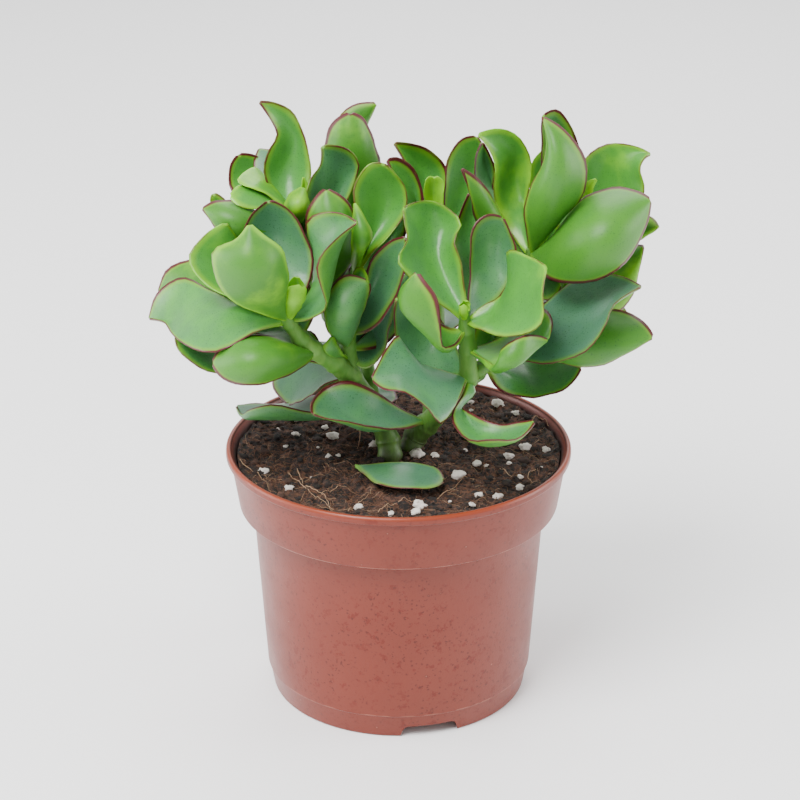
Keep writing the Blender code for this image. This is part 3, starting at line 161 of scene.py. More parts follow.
# A leaf's edges have its tip turned up, and side is the face that the photograph shows. Bloom is its
# waxy blue-grey, from 0 for a young leaf to 1, and blush is how purple its edge is.
Leaf = namedtuple("Leaf", "name stem side bloom blush base tip left right middle")
LEAVES = (
    Leaf("A1", "A", "under", 0.25, 0.2, (281, 317, 28), (250, 222, 38),
         ((255, 312, 34), (224, 294, 38), (212, 252, 38), (236, 238, 38)),
         ((286, 303, 31), (289, 275, 34), (281, 247, 37), (262, 233, 38)),
         ((252, 268, 46),)),
    Leaf("A2", "A", "upper", 0.5, 0.7, (285, 324, 26), (148, 319, -14),
         ((255, 333, 34), (215, 353, 38), (180, 342, 24), (163, 322, 2)),
         ((250, 309, 18), (215, 292, 4), (180, 277, -10), (157, 293, -13)),
         ((215, 320, 22), (172, 315, -2))),
    Leaf("A3", "A", "upper", 0.35, 0.2, (284, 318, 25), (226, 221, 8),
         ((218, 292, 22), (195, 275, 18), (189, 255, 14), (203, 236, 10)),
         ((255, 285, 12), (245, 255, 2), (236, 235, 4)),
         ((230, 270, 6),)),
    Leaf("A4", "A", "upper", 0.6, 0.5, (290, 321, 26), (358, 222, 26),
         ((301, 303, 16), (313, 280, 8), (311, 252, 6), (306, 221, 8), (330, 211, 14)),
         ((312, 319, 32), (326, 306, 36), (316, 270, 36), (324, 250, 34), (343, 233, 30)),
         ((318, 302, 24), (329, 275, 22), (337, 248, 18), (347, 229, 20))),
    Leaf("A5", "A", "upper", 0.8, 0.7, (290, 320, 24), (268, 199, 6),
         ((262, 290, 8), (242, 255, 6), (246, 222, 8)),
         ((308, 288, 12), (314, 262, 9), (303, 229, 9), (287, 207, 8)),
         ((278, 250, 0),)),
    Leaf("A6", "A", "upper", 0.1, 0, (293, 320, 27), (297, 275, 24),
         ((288, 302, 26), (287, 284, 26)),
         ((303, 302, 24), (304, 284, 24)),
         ((296, 295, 22),)),
    Leaf("A7", "A", "under", 0.3, 1.6, (314, 355, 18), (211, 363, 36),
         ((303, 367, 22), (280, 379, 32), (250, 386, 40), (222, 379, 40)),
         ((304, 351, 20), (285, 341, 25), (262, 334, 28), (235, 337, 32), (217, 351, 34)),
         ((258, 360, 44),)),
    Leaf("A8", "A", "upper", 0.6, 0.4, (304, 345, 17), (174, 334, 12),
         ((260, 375, 20), (213, 373, 22), (190, 362, 20), (177, 348, 16)),
         ((250, 335, -5), (200, 322, -5)),
         ((230, 350, 8),)),
    Leaf("A9", "A", "under", 0.25, 1.4, (287, 322, 23), (157, 293, -17),
         ((220, 312, 0), (182, 305, -8), (165, 300, -14)),
         ((235, 268, -14), (190, 259, -18), (167, 269, -19), (160, 283, -18)),
         ((205, 285, -4),)),
    Leaf("A10", "A", "under", 0, 0, (292, 321, 30), (303, 284, 30),
         ((284, 305, 30), (287, 288, 32)),
         ((302, 305, 29), (307, 291, 30)),
         ((295, 302, 33),)),
    Leaf("B1", "B", "upper", 0.45, 0.4, (294, 212, -10), (257, 101, -14),
         ((275, 199, -12), (264, 175, -12), (267, 152, -12), (277, 137, -14), (272, 123, -14), (264, 110, -14)),
         ((309, 190, -12), (311, 165, -14), (304, 135, -16), (293, 112, -16), (275, 102, -15)),
         ((287, 170, -20), (290, 135, -20), (275, 112, -17))),
    Leaf("B2", "B", "upper", 0.4, 0.9, (298, 226, -10), (238, 153, -26),
         ((240, 200, -18), (229, 185, -22), (230, 165, -24)),
         ((262, 190, -26), (268, 168, -30), (256, 155, -29)),
         ((250, 178, -28),)),
    Leaf("B3", "B", "upper", 0.1, 0.1, (293, 214, -8), (236, 181, -6),
         ((262, 192, -4), (247, 187, -4)),
         ((264, 174, -18), (256, 167, -18), (244, 172, -12)),
         ((259, 181, -12),)),
    Leaf("B4", "B", "upper", 0.2, 0.1, (294, 214, -8), (228, 196, -2),
         ((262, 210, -1), (240, 207, 1)),
         ((268, 190, -12), (251, 182, -12), (237, 186, -6)),
         ((255, 196, -5),)),
    Leaf("B5", "B", "under", 0.4, 1.6, (292, 234, -9), (201, 208, -2),
         ((245, 242, 0), (218, 231, 2), (208, 218, 1)),
         ((257, 212, -8), (240, 202, -6), (217, 200, -3)),
         ((234, 219, 5),)),
    Leaf("B6", "B", "upper", 0.4, 0.3, (280, 224, -14), (213, 192, -26),
         ((215, 212, -24), (210, 199, -26)),
         ((236, 212, -26), (223, 197, -26)),
         ((224, 208, -28),)),
    Leaf("B7", "B", "under", 0.12, 0, (299, 230, -7), (304, 186, -8),
         ((290, 217, -4), (284, 203, -6), (294, 190, -8)),
         ((309, 210, -4), (308, 195, -6)),
         ((298, 205, 1),)),
    Leaf("B8", "B", "upper", 0.7, 0.4, (305, 245, -10), (321, 145, -14),
         ((307, 209, -6), (305, 192, -5), (313, 175, -8), (321, 162, -12)),
         ((345, 207, -16), (354, 182, -18), (360, 165, -19), (345, 147, -16)),
         ((334, 180, -20),)),
    Leaf("B9", "K", "under", 0.3, 1.6, (352, 205, -34), (350, 111, -29),
         ((332, 185, -36), (324, 148, -34), (333, 121, -31)),
         ((380, 170, -36), (374, 140, -33), (364, 118, -31)),
         ((352, 150, -26),)),
    Leaf("B10", "K", "under", 0.3, 0.5, (352, 205, -37), (378, 102, -46),
         ((335, 125, -44), (352, 105, -46)),
         ((365, 135, -50), (370, 120, -48)),
         ((355, 128, -44),)),
    Leaf("B11", "B", "under", 0.35, 1.3, (348, 285, 1), (326, 187, 4),
         ((312, 245, 0), (305, 217, 2), (316, 195, 4)),
         ((355, 260, -2), (358, 232, 0), (350, 203, 2)),
         ((332, 228, 10),)),
    Leaf("B12", "B", "upper", 0.1, 0, (299, 222, -9), (303, 175, -10),
         ((301, 190, -9),),
         ((308, 190, -10),),
         ((304, 190, -11),)),
    Leaf("C1", "C", "upper", 0.4, 0.3, (357, 278, 2), (383, 162, -4),
         ((362, 240, 0), (353, 200, -1), (356, 180, -3), (369, 164, -4)),
         ((373, 253, 0), (398, 226, -4), (408, 203, -6), (405, 187, -6), (395, 172, -5)),
         ((379, 218, -10), (384, 185, -9))),
    Leaf("C2", "C", "upper", 0.75, 0.6, (352, 336, 10), (406, 236, 12),
         ((357, 310, 4), (365, 282, 4), (369, 262, 6), (385, 244, 8), (396, 238, 10)),
         ((372, 330, 14), (392, 305, 14), (403, 278, 13), (408, 250, 13)),
         ((378, 292, 2),)),
    Leaf("C3", "C", "under", 0.25, 0.1, (353, 284, 8), (354, 201, 4),
         ((351, 255, 7), (352, 225, 6)),
         ((361, 252, 9), (373, 238, 9), (366, 219, 7)),
         ((361, 235, 12),)),
    Leaf("C4", "C", "under", 0.8, 0.6, (347, 350, 11), (370, 281, 20),
         ((328, 332, 18), (323, 312, 20), (331, 286, 20), (347, 274, 18)),
         ((356, 330, 16), (366, 305, 18), (371, 290, 19)),
         ((345, 316, 27), (357, 290, 23))),
    Leaf("C5", "C", "upper", 0.85, 0.3, (350, 353, 6), (396, 300, 2),
         ((356, 325, -1), (375, 310, -3)),
         ((365, 369, 10), (384, 353, 8), (389, 330, 6), (394, 313, 4)),
         ((371, 338, -2),)),
    Leaf("C9", "C", "upper", 0.4, 0.2, (352, 320, 11), (369, 282, 19),
         ((351, 292, 11), (353, 271, 10), (361, 266, 10)),
         ((364, 302, 18), (369, 291, 21)),
         ((359, 288, 11),)),
    Leaf("C6", "C", "under", 0.7, 0.1, (347, 362, 10), (333, 334, 18),
         ((328, 357, 18), (321, 350, 19)),
         ((341, 350, 17),),
         ((331, 347, 20),)),
    Leaf("M1", "M", "upper", 0.4, 0.9, (432, 262, -24), (386, 159, -16),
         ((408, 215, -13), (399, 187, -12), (391, 168, -14)),
         ((425, 212, -20), (421, 183, -20), (411, 165, -18), (398, 157, -17)),
         ((411, 195, -22),)),
    Leaf("M2", "M", "upper", 0.35, 0.5, (436, 242, -30), (393, 142, -36),
         ((420, 200, -32), (409, 170, -32), (400, 153, -34)),
         ((447, 200, -38), (446, 167, -40), (430, 150, -38), (412, 143, -37)),
         ((426, 182, -43),)),
    Leaf("M3", "M", "upper", 0, 0, (434, 228, -28), (434, 175, -30),
         ((424, 198, -28), (426, 179, -29)),
         ((443, 200, -28), (443, 180, -29)),
         ((434, 198, -32),)),
    Leaf("M4", "M", "upper", 0.45, 0.5, (440, 262, -28), (477, 135, -34),
         ((444, 215, -28), (445, 172, -30), (451, 150, -32), (463, 138, -33)),
         ((478, 220, -34), (485, 180, -36), (485, 150, -36)),
         ((463, 185, -39),)),
    Leaf("M5", "E", "upper", 0.6, 0.8, (524, 266, -3), (482, 141, -20),
         ((478, 203, -14), (474, 172, -14), (476, 155, -16)),
         ((492, 200, -22), (496, 175, -24), (491, 155, -22)),
         ((486, 180, -25),)),
    Leaf("M6", "E", "upper", 0.28, 0.2, (529, 256, -3), (476, 134, -6),
         ((503, 222, -10), (493, 192, -8), (495, 168, -6), (487, 146, -6)),
         ((524, 212, -14), (531, 180, -14), (530, 155, -14), (518, 136, -12), (499, 128, -9)),
         ((513, 182, -19), (506, 150, -14))),
    Leaf("M7", "E", "under", 0.35, 1, (526, 266, -4), (461, 167, 4),
         ((478, 225, -8), (470, 195, -1), (465, 178, 3)),
         ((506, 228, -11), (490, 193, -5), (476, 176, 1)),
         ((484, 205, -1),)),
    Leaf("M8", "D", "upper", 0.6, 0.6, (467, 334, 16), (469, 191, -6),
         ((455, 264, 0), (451, 238, -3), (461, 210, -4)),
         ((480, 270, -4), (482, 230, -6), (477, 205, -7)),
         ((470, 245, -8),)),
    Leaf("C7", "C", "upper", 0.6, 0.7, (362, 268, 0), (405, 206, -16),
         ((375, 240, -12), (390, 212, -16)),
         ((386, 264, -8), (405, 237, -14)),
         ((389, 238, -19),)),
    Leaf("C8", "C", "upper", 0.7, 0.5, (356, 345, 6), (413, 262, -12),
         ((378, 318, -8), (394, 290, -13)),
         ((381, 347, 2), (400, 330, -5), (412, 298, -10)),
         ((390, 316, -9),)),
    Leaf("D10", "D", "upper", 0.5, 0.4, (469, 338, 12), (514, 322, 2),
         ((482, 318, 0), (500, 312, -2)),
         ((483, 351, 6), (503, 346, 4)),
         ((492, 334, -4),)),
    Leaf("D1", "D", "upper", 0.5, 0.3, (461, 316, 22), (402, 208, 16),
         ((446, 309, 26), (413, 280, 30), (397, 262, 32), (406, 243, 26), (405, 225, 20)),
         ((466, 295, 20), (461, 262, 18), (455, 240, 16), (461, 221, 10), (446, 206, 6), (424, 200, 8)),
         ((438, 270, 12), (425, 228, 6))),
    Leaf("D2", "D", "upper", 0.3, 0.3, (467, 317, 24), (547, 266, 40),
         ((483, 305, 22), (500, 296, 20), (509, 277, 16), (507, 251, 18), (529, 256, 30)),
         ((480, 330, 34), (505, 337, 40), (526, 334, 44), (543, 322, 48), (543, 297, 46)),
         ((495, 316, 26), (523, 288, 30))),
    Leaf("D3", "D", "upper", 0.75, 0.6, (467, 316, 21), (503, 216, 8),
         ((470, 270, 13), (470, 240, 12), (476, 221, 10), (489, 214, 9)),
         ((504, 293, 10), (517, 257, 9), (511, 232, 8)),
         ((490, 258, 4),)),
    Leaf("D4", "D", "under", 0.3, 0.9, (461, 331, 24), (418, 270, 40),
         ((447, 326, 24), (425, 312, 26), (402, 290, 34), (408, 279, 38)),
         ((453, 344, 36), (443, 346, 42), (441, 322, 44), (437, 297, 44), (425, 280, 42)),
         ((445, 348, 34), (426, 332, 40), (406, 308, 42))),
    Leaf("D5", "D", "upper", 0.3, 0.7, (473, 350, 22), (549, 339, 32),
         ((487, 343, 14), (507, 334, 10), (532, 314, 10), (544, 308, 14), (553, 322, 24)),
         ((482, 357, 32), (496, 364, 41), (503, 347, 44), (521, 336, 44), (538, 335, 38)),
         ((485, 359, 30), (500, 367, 40), (517, 363, 44), (534, 349, 40))),
    Leaf("D6", "D", "upper", 0.05, 0, (463, 322, 25), (466, 299, 24),
         ((459, 312, 25), (460, 304, 25)),
         ((469, 312, 24), (470, 304, 24)),
         ((465, 308, 22),)),
    Leaf("D7", "D", "upper", 0.75, 0.6, (470, 379, 18), (370, 380, 40),
         ((463, 390, 30), (453, 410, 38), (440, 424, 46), (426, 407, 48), (405, 393, 48), (385, 390, 46)),
         ((450, 372, 20), (426, 365, 20), (408, 355, 20), (398, 335, 24), (384, 352, 32)),
         ((437, 386, 32), (400, 372, 34))),
    Leaf("D8", "D", "upper", 0.55, 0.7, (474, 380, 17), (537, 419, 44),
         ((475, 391, 20), (462, 405, 28), (478, 416, 36), (500, 424, 40), (521, 421, 42)),
         ((464, 391, 26), (452, 413, 36), (457, 431, 46), (472, 440, 53), (495, 439, 57), (520, 437.5, 53)),
         ((470, 393, 24), (458, 410, 31), (471, 432, 38), (488, 442, 44), (512, 439, 46))),
    Leaf("D9", "D", "under", 0, 0, (464, 323, 26), (460, 303, 28),
         ((459, 314, 27),),
         ((468, 314, 27), (467, 306, 28)),
         ((463, 312, 28),)),
    Leaf("E1", "E", "under", 0.45, 0.9, (533, 248, 2), (542, 115, 6),
         ((525, 227, 4), (524, 205, 5), (533, 181, 7), (545, 157, 8), (546, 133, 8)),
         ((560, 222, 6), (582, 197, 6), (588, 172, 6), (580, 147, 7), (562, 127, 7)),
         ((554, 190, 16), (556, 150, 15))),
    Leaf("E2", "E", "under", 0.45, 1.7, (540, 262, 8), (652, 199, 10),
         ((556, 231, 4), (580, 200, 2), (610, 187, 2), (637, 190, 6)),
         ((552, 281, 16), (585, 283, 20), (613, 274, 20), (634, 252, 18), (648, 222, 14)),
         ((596, 235, 25),)),
    Leaf("E3", "H", "upper", 0.3, 0.35, (590, 232, -20), (652, 154, -16),
         ((585, 195, -26), (584, 160, -28), (600, 146, -28), (622, 143, -26), (641, 148, -20)),
         ((622, 222, -14), (645, 192, -12), (640, 170, -12), (645, 158, -14)),
         ((611, 185, -29), (632, 160, -23))),
    Leaf("E4", "H", "upper", 0, 0, (584, 234, -20), (598, 178, -13),
         ((584, 185, -14),),
         ((593, 190, -13),),
         ((589, 188, -15),)),
    Leaf("E5", "E", "upper", 0.3, 0.3, (532, 250, -4), (543, 149, -26),
         ((530, 190, -24), (531, 165, -25)),
         ((555, 190, -27), (556, 165, -27)),
         ((542, 185, -29),)),
    Leaf("E6", "E", "upper", 0.3, 0.2, (537, 262, 2), (558, 220, -6),
         ((541, 240, -4), (548, 226, -6)),
         ((555, 248, -4),),
         ((549, 240, -8),)),
    Leaf("E8", "E", "upper", 0.7, 0.3, (523, 290, -1), (563, 284, -8),
         ((540, 300, -3), (556, 297, -6)),
         ((538, 270, -10), (554, 268, -12)),
         ((545, 285, -12),)),
    Leaf("E7", "E", "upper", 0.5, 0.5, (536, 248, -4), (542, 115, -2),
         ((538, 200, -8), (541, 160, -8), (541, 132, -5)),
         ((566, 200, -10), (583, 170, -10), (573, 130, -6), (557, 109, -3)),
         ((556, 180, -17), (556, 138, -13))),
    Leaf("F1", "F", "upper", 0.95, 0.5, (494, 360, 13), (643, 286, 20),
         ((515, 330, 4), (541, 307, 4), (562, 288, 0), (590, 273, -3), (618, 275, 5)),
         ((520, 361, 22), (550, 364, 28), (585, 352, 32), (604, 330, 32), (612, 307, 28), (628, 294, 24)),
         ((545, 336, 16), (590, 309, 12))),
    Leaf("F2", "F", "under", 0.5, 1.2, (498, 361, 9), (655, 338, 14),
         ((560, 325, -4), (600, 309, 0), (625, 311, 4), (645, 322, 10)),
         ((560, 363, 8), (590, 368, 14), (622, 357, 16), (645, 343, 15)),
         ((602, 341, 17),)),
    Leaf("F3", "F", "upper", 0.6, 0.7, (483, 374, 12), (583, 366, 10),
         ((510, 365, -6), (550, 350, -8), (574, 356, 0)),
         ((500, 391, 10), (530, 398, 14), (560, 392, 14), (575, 381, 12)),
         ((535, 378, 2),)),
    Leaf("F4", "H", "under", 0.2, 1.1, (560, 285, -17), (645, 245, -8),
         ((595, 265, -26), (625, 246, -20)),
         ((600, 318, -10), (621, 311, -6), (634, 293, -5), (640, 268, -5)),
         ((618, 278, -6),)),
    Leaf("F5", "H", "under", 0.3, 0.3, (582, 250, -22), (660, 227, 7),
         ((625, 218, -14), (650, 216, -3)),
         ((622, 248, -8), (646, 237, 0)),
         ((630, 232, -6),)),
    Leaf("G1", "D", "upper", 0.8, 0.8, (424, 417, -2), (311, 414, 30),
         ((404, 429, 14), (380, 427, 28), (352, 422, 36), (326, 418, 35)),
         ((400, 407, 5), (370, 388, 13), (345, 380, 16), (322, 389, 17), (311, 402, 23)),
         ((392, 420, 10), (362, 423, 21), (335, 417, 27))),
    Leaf("G2", "A", "upper", 0.85, 0.7, (364, 404, -1), (236, 405, -12),
         ((313, 412, 8), (275, 404, 10), (250, 409, 6), (243, 414, 0)),
         ((315, 395, -12), (285, 403, -16), (255, 403, -16)),
         ((312, 417, 4), (275, 417, 4), (248, 416, -2))),
    Leaf("G3", "A", "upper", 0.85, 0.6, (347, 377, 5), (288, 406, -6),
         ((331, 381, 6), (307, 398, 5)),
         ((325, 360, -16), (290, 362, -24), (272, 380, -22)),
         ((307, 380, -10),)),
    Leaf("G6", "D", "upper", 0.8, 0.5, (463, 366, 14), (396, 298, 22),
         ((442, 380, 8), (415, 369, 8), (399, 347, 11), (394, 322, 17)),
         ((445, 325, 0), (415, 293, 10)),
         ((427, 338, 2), (407, 318, 8))),
)
FALLEN_LEVEL = SOIL_LEVEL + 2.6
FALLEN_THICKNESS = 2.0
FALLEN_LEAF = Leaf("fallen", "", "upper", 0.85, 0.4, (355, 466, 0), (445, 481, 0.5),
                   ((375, 463, 1.5), (410, 462, 2), (437, 468, 1.5)),
                   ((366, 476, 1), (380, 485, 2), (415, 489, 2.5), (436, 487, 1.5)),
                   ((400, 474, 0.5),))

# A hidden leaf: (stem, how far up from 0 to 1, heading in degrees from +X towards +Y, rise in degrees,
# length in mm)
HIDDEN_LEAVES = (
    ("B", 0.55, 150, 20, 40), ("B", 0.62, 60, 25, 36), ("B", 0.85, 120, 38, 38), ("B", 0.40, 100, 5, 38),
    ("A", 0.55, 130, -5, 38), ("A", 0.70, 170, 5, 36), ("A", 0.84, 120, 25, 38),
    ("C", 0.55, 100, 15, 34), ("K", 0.35, 110, 5, 36), ("K", 0.60, 150, 15, 38), ("K", 0.60, 60, 15, 30),
    ("K", 0.82, 110, 30, 36),
    ("M", 0.40, 80, 0, 38), ("M", 0.62, 120, 12, 34), ("M", 0.64, 50, 15, 38), ("M", 0.85, 85, 32, 36),
    ("E", 0.50, 70, 5, 38), ("E", 0.70, 100, 20, 36), ("H", 0.45, 110, 8, 38), ("H", 0.45, 0, -5, 30),
    ("H", 0.68, 60, 15, 36), ("H", 0.88, 100, 28, 34), ("F", 0.60, 75, 0, 28),
    ("D", 0.50, 110, -8, 34), ("A", 0.30, 100, -12, 34),
)
HIDDEN_WIDTH = 0.56
HIDDEN_ARCH = math.radians(42)
HIDDEN_WAVE = 2.6

# White grains that the photograph shows on the soil: (across, down, radius in mm)
GRAINS = (
    (296, 436, 1.7), (333, 438, 2.2), (374, 446, 1.8), (263, 473, 1.9), (289, 490, 1.9), (417, 456, 2.8),
    (435, 457, 1.5), (477, 465, 1.5), (458, 477, 2.4), (501, 404, 2.4), (526, 411, 1.5), (525, 449, 2.3),
    (546, 451, 1.6), (509, 458, 1.7), (520, 489, 1.5), (479, 497, 1.7), (498, 498, 1.8), (420, 507, 2.2),
    (358, 508, 1.5), (329, 457, 1.2), (338, 456, 0.9), (278, 430, 0.9), (286, 447, 0.9), (465, 451, 1.0),
    (486, 467, 1.0), (509, 464, 1.0), (520, 478, 1.1), (472, 506, 1.3), (415, 514, 1.8), (391, 515, 1.3),
    (318, 448, 0.6), (541, 468, 0.7), (450, 502, 0.7), (312, 478, 0.6), (384, 456, 0.7),
)
# Pale roots that lie on the soil: points of the photograph
ROOTS = (
    ((289, 474), (300, 484), (310, 493), (322, 502), (333, 510)),
    ((297, 470), (300, 478), (303, 486)),
    ((306, 487), (318, 494), (334, 511)),
    ((378, 514), (386, 507), (400, 503), (416, 501)),
    ((430, 499), (445, 494), (458, 484), (466, 478), (477, 481)),
    ((348, 512), (358, 505), (369, 495)),
    ((240, 461), (254, 474), (268, 486)),
    ((338, 488), (331, 492), (322, 495)),
    ((522, 425), (538, 420), (549, 428)),
    ((500, 470), (508, 476), (514, 479)),
    ((357, 428), (360, 438), (357, 450)),
    ((536, 470), (528, 478), (533, 484)),
)


# How far the soil rises against the pot's wall, in mm
SOIL_BANK = 1.3
LEAF_LAYERS = ("rim", "along", "face", "bloom", "blush")
# The pot's dark specks: cells per metre, size in a cell, and the share of the cells that hold one
POT_SPECKS = ((520.0, 0.34, 0.4), (230.0, 0.2, 0.35))
# Heights in mm of the thin pale lines where the mould's halves and steps meet: painted highlights along these edges
PAINTED_HIGHLIGHT_LEVELS = (COLLAR_FOOT_HEIGHT + 0.25, SEAM_HEIGHT + 0.3)


def seen(across, down, near):
    """The place, in mm, of a point of the photograph that is this much nearer than the pot's axis."""
    sine = math.sin(VIEW_TILT)
    cosine = math.cos(VIEW_TILT)
    slope = (down - FRAME_CENTRE) / FOCAL_PIXELS
    drop = VIEW_RISE + near * sine - slope * (VIEW_DISTANCE - near * cosine)
    height = drop / (cosine - slope * sine)
    depth = VIEW_DISTANCE - near * cosine - height * sine
    return np.array([VIEW_SIDE + (across - FRAME_CENTRE) / FOCAL_PIXELS * depth, -near, RIM_HEIGHT + height])


def seen_at_height(across, down, height):
    """The place of a point of the photograph at a height, which is a function of x and y."""
    near = 0.0
    for _ in range(HEIGHT_ROUNDS):
        x, y, z = seen(across, down, near)
        near += (height(x, y) - z) / (1.5 * math.tan(VIEW_TILT))
    return seen(across, down, near)


def fine_curve(points):
    """A smooth curve through the points, and how far along it each of its places is, from 0 to 1."""
    points = np.array(points, float)
    steps = np.sqrt(np.linalg.norm(np.diff(points, axis=0), axis=1))
    knots = np.concatenate([[0.0], np.cumsum(steps)])
    rates = np.diff(points, axis=0) / steps[:, None]
    slopes = np.empty_like(points)
    weights = steps[1:, None] / (steps[:-1] + steps[1:])[:, None]
    slopes[1:-1] = rates[:-1] * weights + rates[1:] * (1 - weights)
    slopes[0] = 1.5 * rates[0] - 0.5 * slopes[1]
    slopes[-1] = 1.5 * rates[-1] - 0.5 * slopes[-2]
    fine = np.linspace(0, knots[-1], CURVE_SAMPLES)
    part = np.clip(np.searchsorted(knots, fine, side="right") - 1, 0, len(steps) - 1)
    span = steps[part][:, None]
    t = (fine[:, None] - knots[part][:, None]) / span
    path = (
        (2 * t**3 - 3 * t**2 + 1) * points[part]
        + (t**3 - 2 * t**2 + t) * span * slopes[part]
        + (3 * t**2 - 2 * t**3) * points[part + 1]
        + (t**3 - t**2) * span * slopes[part + 1]
    )
    run = np.concatenate([[0.0], np.cumsum(np.linalg.norm(np.diff(path, axis=0), axis=1))])
    return path, run / run[-1]


def places_along(points, where):
    """The places on the smooth curve through the points, at these shares of its length."""
    path, run = fine_curve(points)
    return np.stack([np.interp(where, run, path[:, axis]) for axis in range(3)], 1)


def soil_height(x, y):
    """The soil's top in mm: mounded a little round the stems, higher at the back, and uneven."""
    mound = SOIL_MOUND * math.exp(-(x * x + y * y) / SOIL_MOUND_SPREAD**2)
    rise = SOIL_BACK_RISE * max(0.0, y) / RIM_RADIUS
    wave = SOIL_WAVE * math.sin(0.21 * x + 1.3) * math.cos(0.19 * y)
    return SOIL_LEVEL + mound + rise + wave + SOIL_RIPPLE * math.sin(0.47 * x - 0.38 * y)


def crumbled_height(x, y):
    """The soil's top with its crumbs."""
    crumbs = CRUMB_RISE * noise.fractal(Vector((x, y, 3)) / CRUMB_SPREAD, 0.6, 2.1, 4)
    beyond = max(0.0, math.hypot(x, y) - SOIL_BANK_START) / (SOIL_EDGE - SOIL_BANK_START)
    return soil_height(x, y) + crumbs + SOIL_BANK * beyond**2


def stem_path(letter):
    """A stem's places, from below upwards, and its radii in mm. A rooted stem starts deep in the soil."""
    places = [seen(*point[:3]) for point in STEMS[letter]]
    radii = [point[3] for point in STEMS[letter]]
    deep = letter in ROOTED
    if deep:
        places.insert(0, places[0] - np.array([0.0, 0.0, STEM_DEPTH]))
        radii.insert(0, radii[0])
    path = []
    for i, (place, radius) in enumerate(zip(places, radii)):
        path.append((place, radius))
        if i + 2 < len(places) and not (deep and i == 0):
            path.append(((place + places[i + 1]) / 2, (radius + radii[i + 1]) / 2 * STEM_WAIST))
    return [place for place, _ in path], [radius for _, radius in path], places[1:-1]


def leaf_rails(leaf, place, path=None):
    """The points of a leaf's left edge, middle and right edge, seen on its upper face."""
    base = place(*leaf.base)
    tip = place(*leaf.tip)
    if path is not None:
        base = path[np.argmin(np.linalg.norm(path - base, axis=1))]
    between = (leaf.left, leaf.middle, leaf.right)
    rails = [[base, *(place(*point) for point in points), tip] for points in between]
    return rails if leaf.side == "upper" else rails[::-1]


def hidden_rails(base, heading, rise, length, phase):
    """The points of the three curves of a leaf that grows along its heading and waves at its edges."""
    along = np.linspace(0, 1, HIDDEN_BANDS + 1)
    angle = rise + HIDDEN_ARCH * (0.5 - along)
    outward = np.array([math.cos(heading), math.sin(heading), 0.0])
    aside = np.array([-math.sin(heading), math.cos(heading), 0.0])
    upward = np.array([0.0, 0.0, 1.0])
    ahead = np.cos(angle)[:, None] * outward + np.sin(angle)[:, None] * upward
    above = np.cos(angle)[:, None] * upward - np.sin(angle)[:, None] * outward
    middle = base + np.concatenate([np.zeros((1, 3)), np.cumsum((ahead[1:] + ahead[:-1]) / 2, axis=0)])
    middle = base + (middle - base) * length / HIDDEN_BANDS
    half = length * HIDDEN_WIDTH / 2 * np.sin(np.pi * along**0.85) ** 0.75 * (1 - 0.15 * along)
    lift = 0.35 * half
    edges = []
    for side in (1, -1):
        wave = HIDDEN_WAVE * np.sin(np.pi * along) * np.sin(2.6 * np.pi * along + phase + side)
        edges.append(middle + side * half[:, None] * aside + (lift + wave)[:, None] * above)
    edges[0][[0, -1]] = middle[[0, -1]]
    edges[1][[0, -1]] = middle[[0, -1]]
    return [edges[0], middle, edges[1]]


def press_leaf(mesh, rails, thickness, bloom, blush, ripple):
    """Presses a ball between the three curves into a leaf that is a lens in section."""
    layers = mesh.verts.layers.float
    rim_layer, along_layer, face_layer = layers["rim"], layers["along"], layers["face"]
    bloom_layer, blush_layer = layers["bloom"], layers["blush"]
    turns = np.linspace(0, math.pi, LENGTH_STEPS + 1)
    reach = np.linalg.norm(rails[1][-1] - rails[1][0])
    where = (1 - np.cos(turns)) / 2 * (1 - TIP_TRIM / reach)
    left, middle, right = (places_along(rail, where) for rail in rails)
    share = np.linalg.norm(middle[-1] - middle[0]) / FULL_LENGTH
    thickness *= min(1.0, THINNEST + (1 - THINNEST) * share)
    half = (right - left) / 2
    bow = (left + right) / 2 - middle
    slopes = [np.gradient(line, where, axis=0) for line in (middle, half, bow)]
    widths = np.linalg.norm(half, axis=1)
    length = np.linalg.norm(np.diff(middle, axis=0), axis=1).sum()
    ball = bmesh.ops.create_uvsphere(mesh, u_segments=RIM_STEPS, v_segments=LENGTH_STEPS, radius=1.0)
    for vert in ball["verts"]:
        ring = round(math.acos(max(-1.0, min(1.0, vert.co.z))) / math.pi * LENGTH_STEPS)
        girth = math.hypot(vert.co.x, vert.co.y)
        across, face = (vert.co.x / girth, vert.co.y / girth) if girth > 1e-6 else (0.0, 0.0)
        place = middle[ring] + across * half[ring] + across**2 * bow[ring]
        along = slopes[0][ring] + across * slopes[1][ring] + across**2 * slopes[2][ring]
        normal = np.cross(half[ring] + 2 * across * bow[ring], along)
        normal = normal / max(np.linalg.norm(normal), 1e-9)
        taper = min(1.0, 0.75 + 0.5 * where[ring], 0.45 + 1.6 * (1 - where[ring]))
        depth = SECTION * thickness / 2 * face * (EDGE_KEEN + (1 - EDGE_KEEN) * abs(face))
        wave = ripple * EDGE_RIPPLE * across**4 * math.sin(9 * where[ring] * math.pi + 2 * across)
        vert.co = Vector((place + (depth + wave) * taper * normal) * MM)
        to_tip = length * (1 - where[ring])
        vert[rim_layer] = min((1 - abs(across)) * widths[ring], 0.7 * to_tip)
        vert[along_layer] = where[ring]
        vert[face_layer] = face
        vert[bloom_layer] = bloom
        vert[blush_layer] = blush


def layered_mesh(*names):
    mesh = bmesh.new()
    for name in names:
        mesh.verts.layers.float.new(name)
    return mesh


def gather(whole, piece):
    """Adds a small mesh to a large one, which is faster than making many shapes in the large one."""
    data = bpy.data.meshes.new("piece")
    piece.to_mesh(data)
    piece.free()
    whole.from_mesh(data)
    bpy.data.meshes.remove(data)


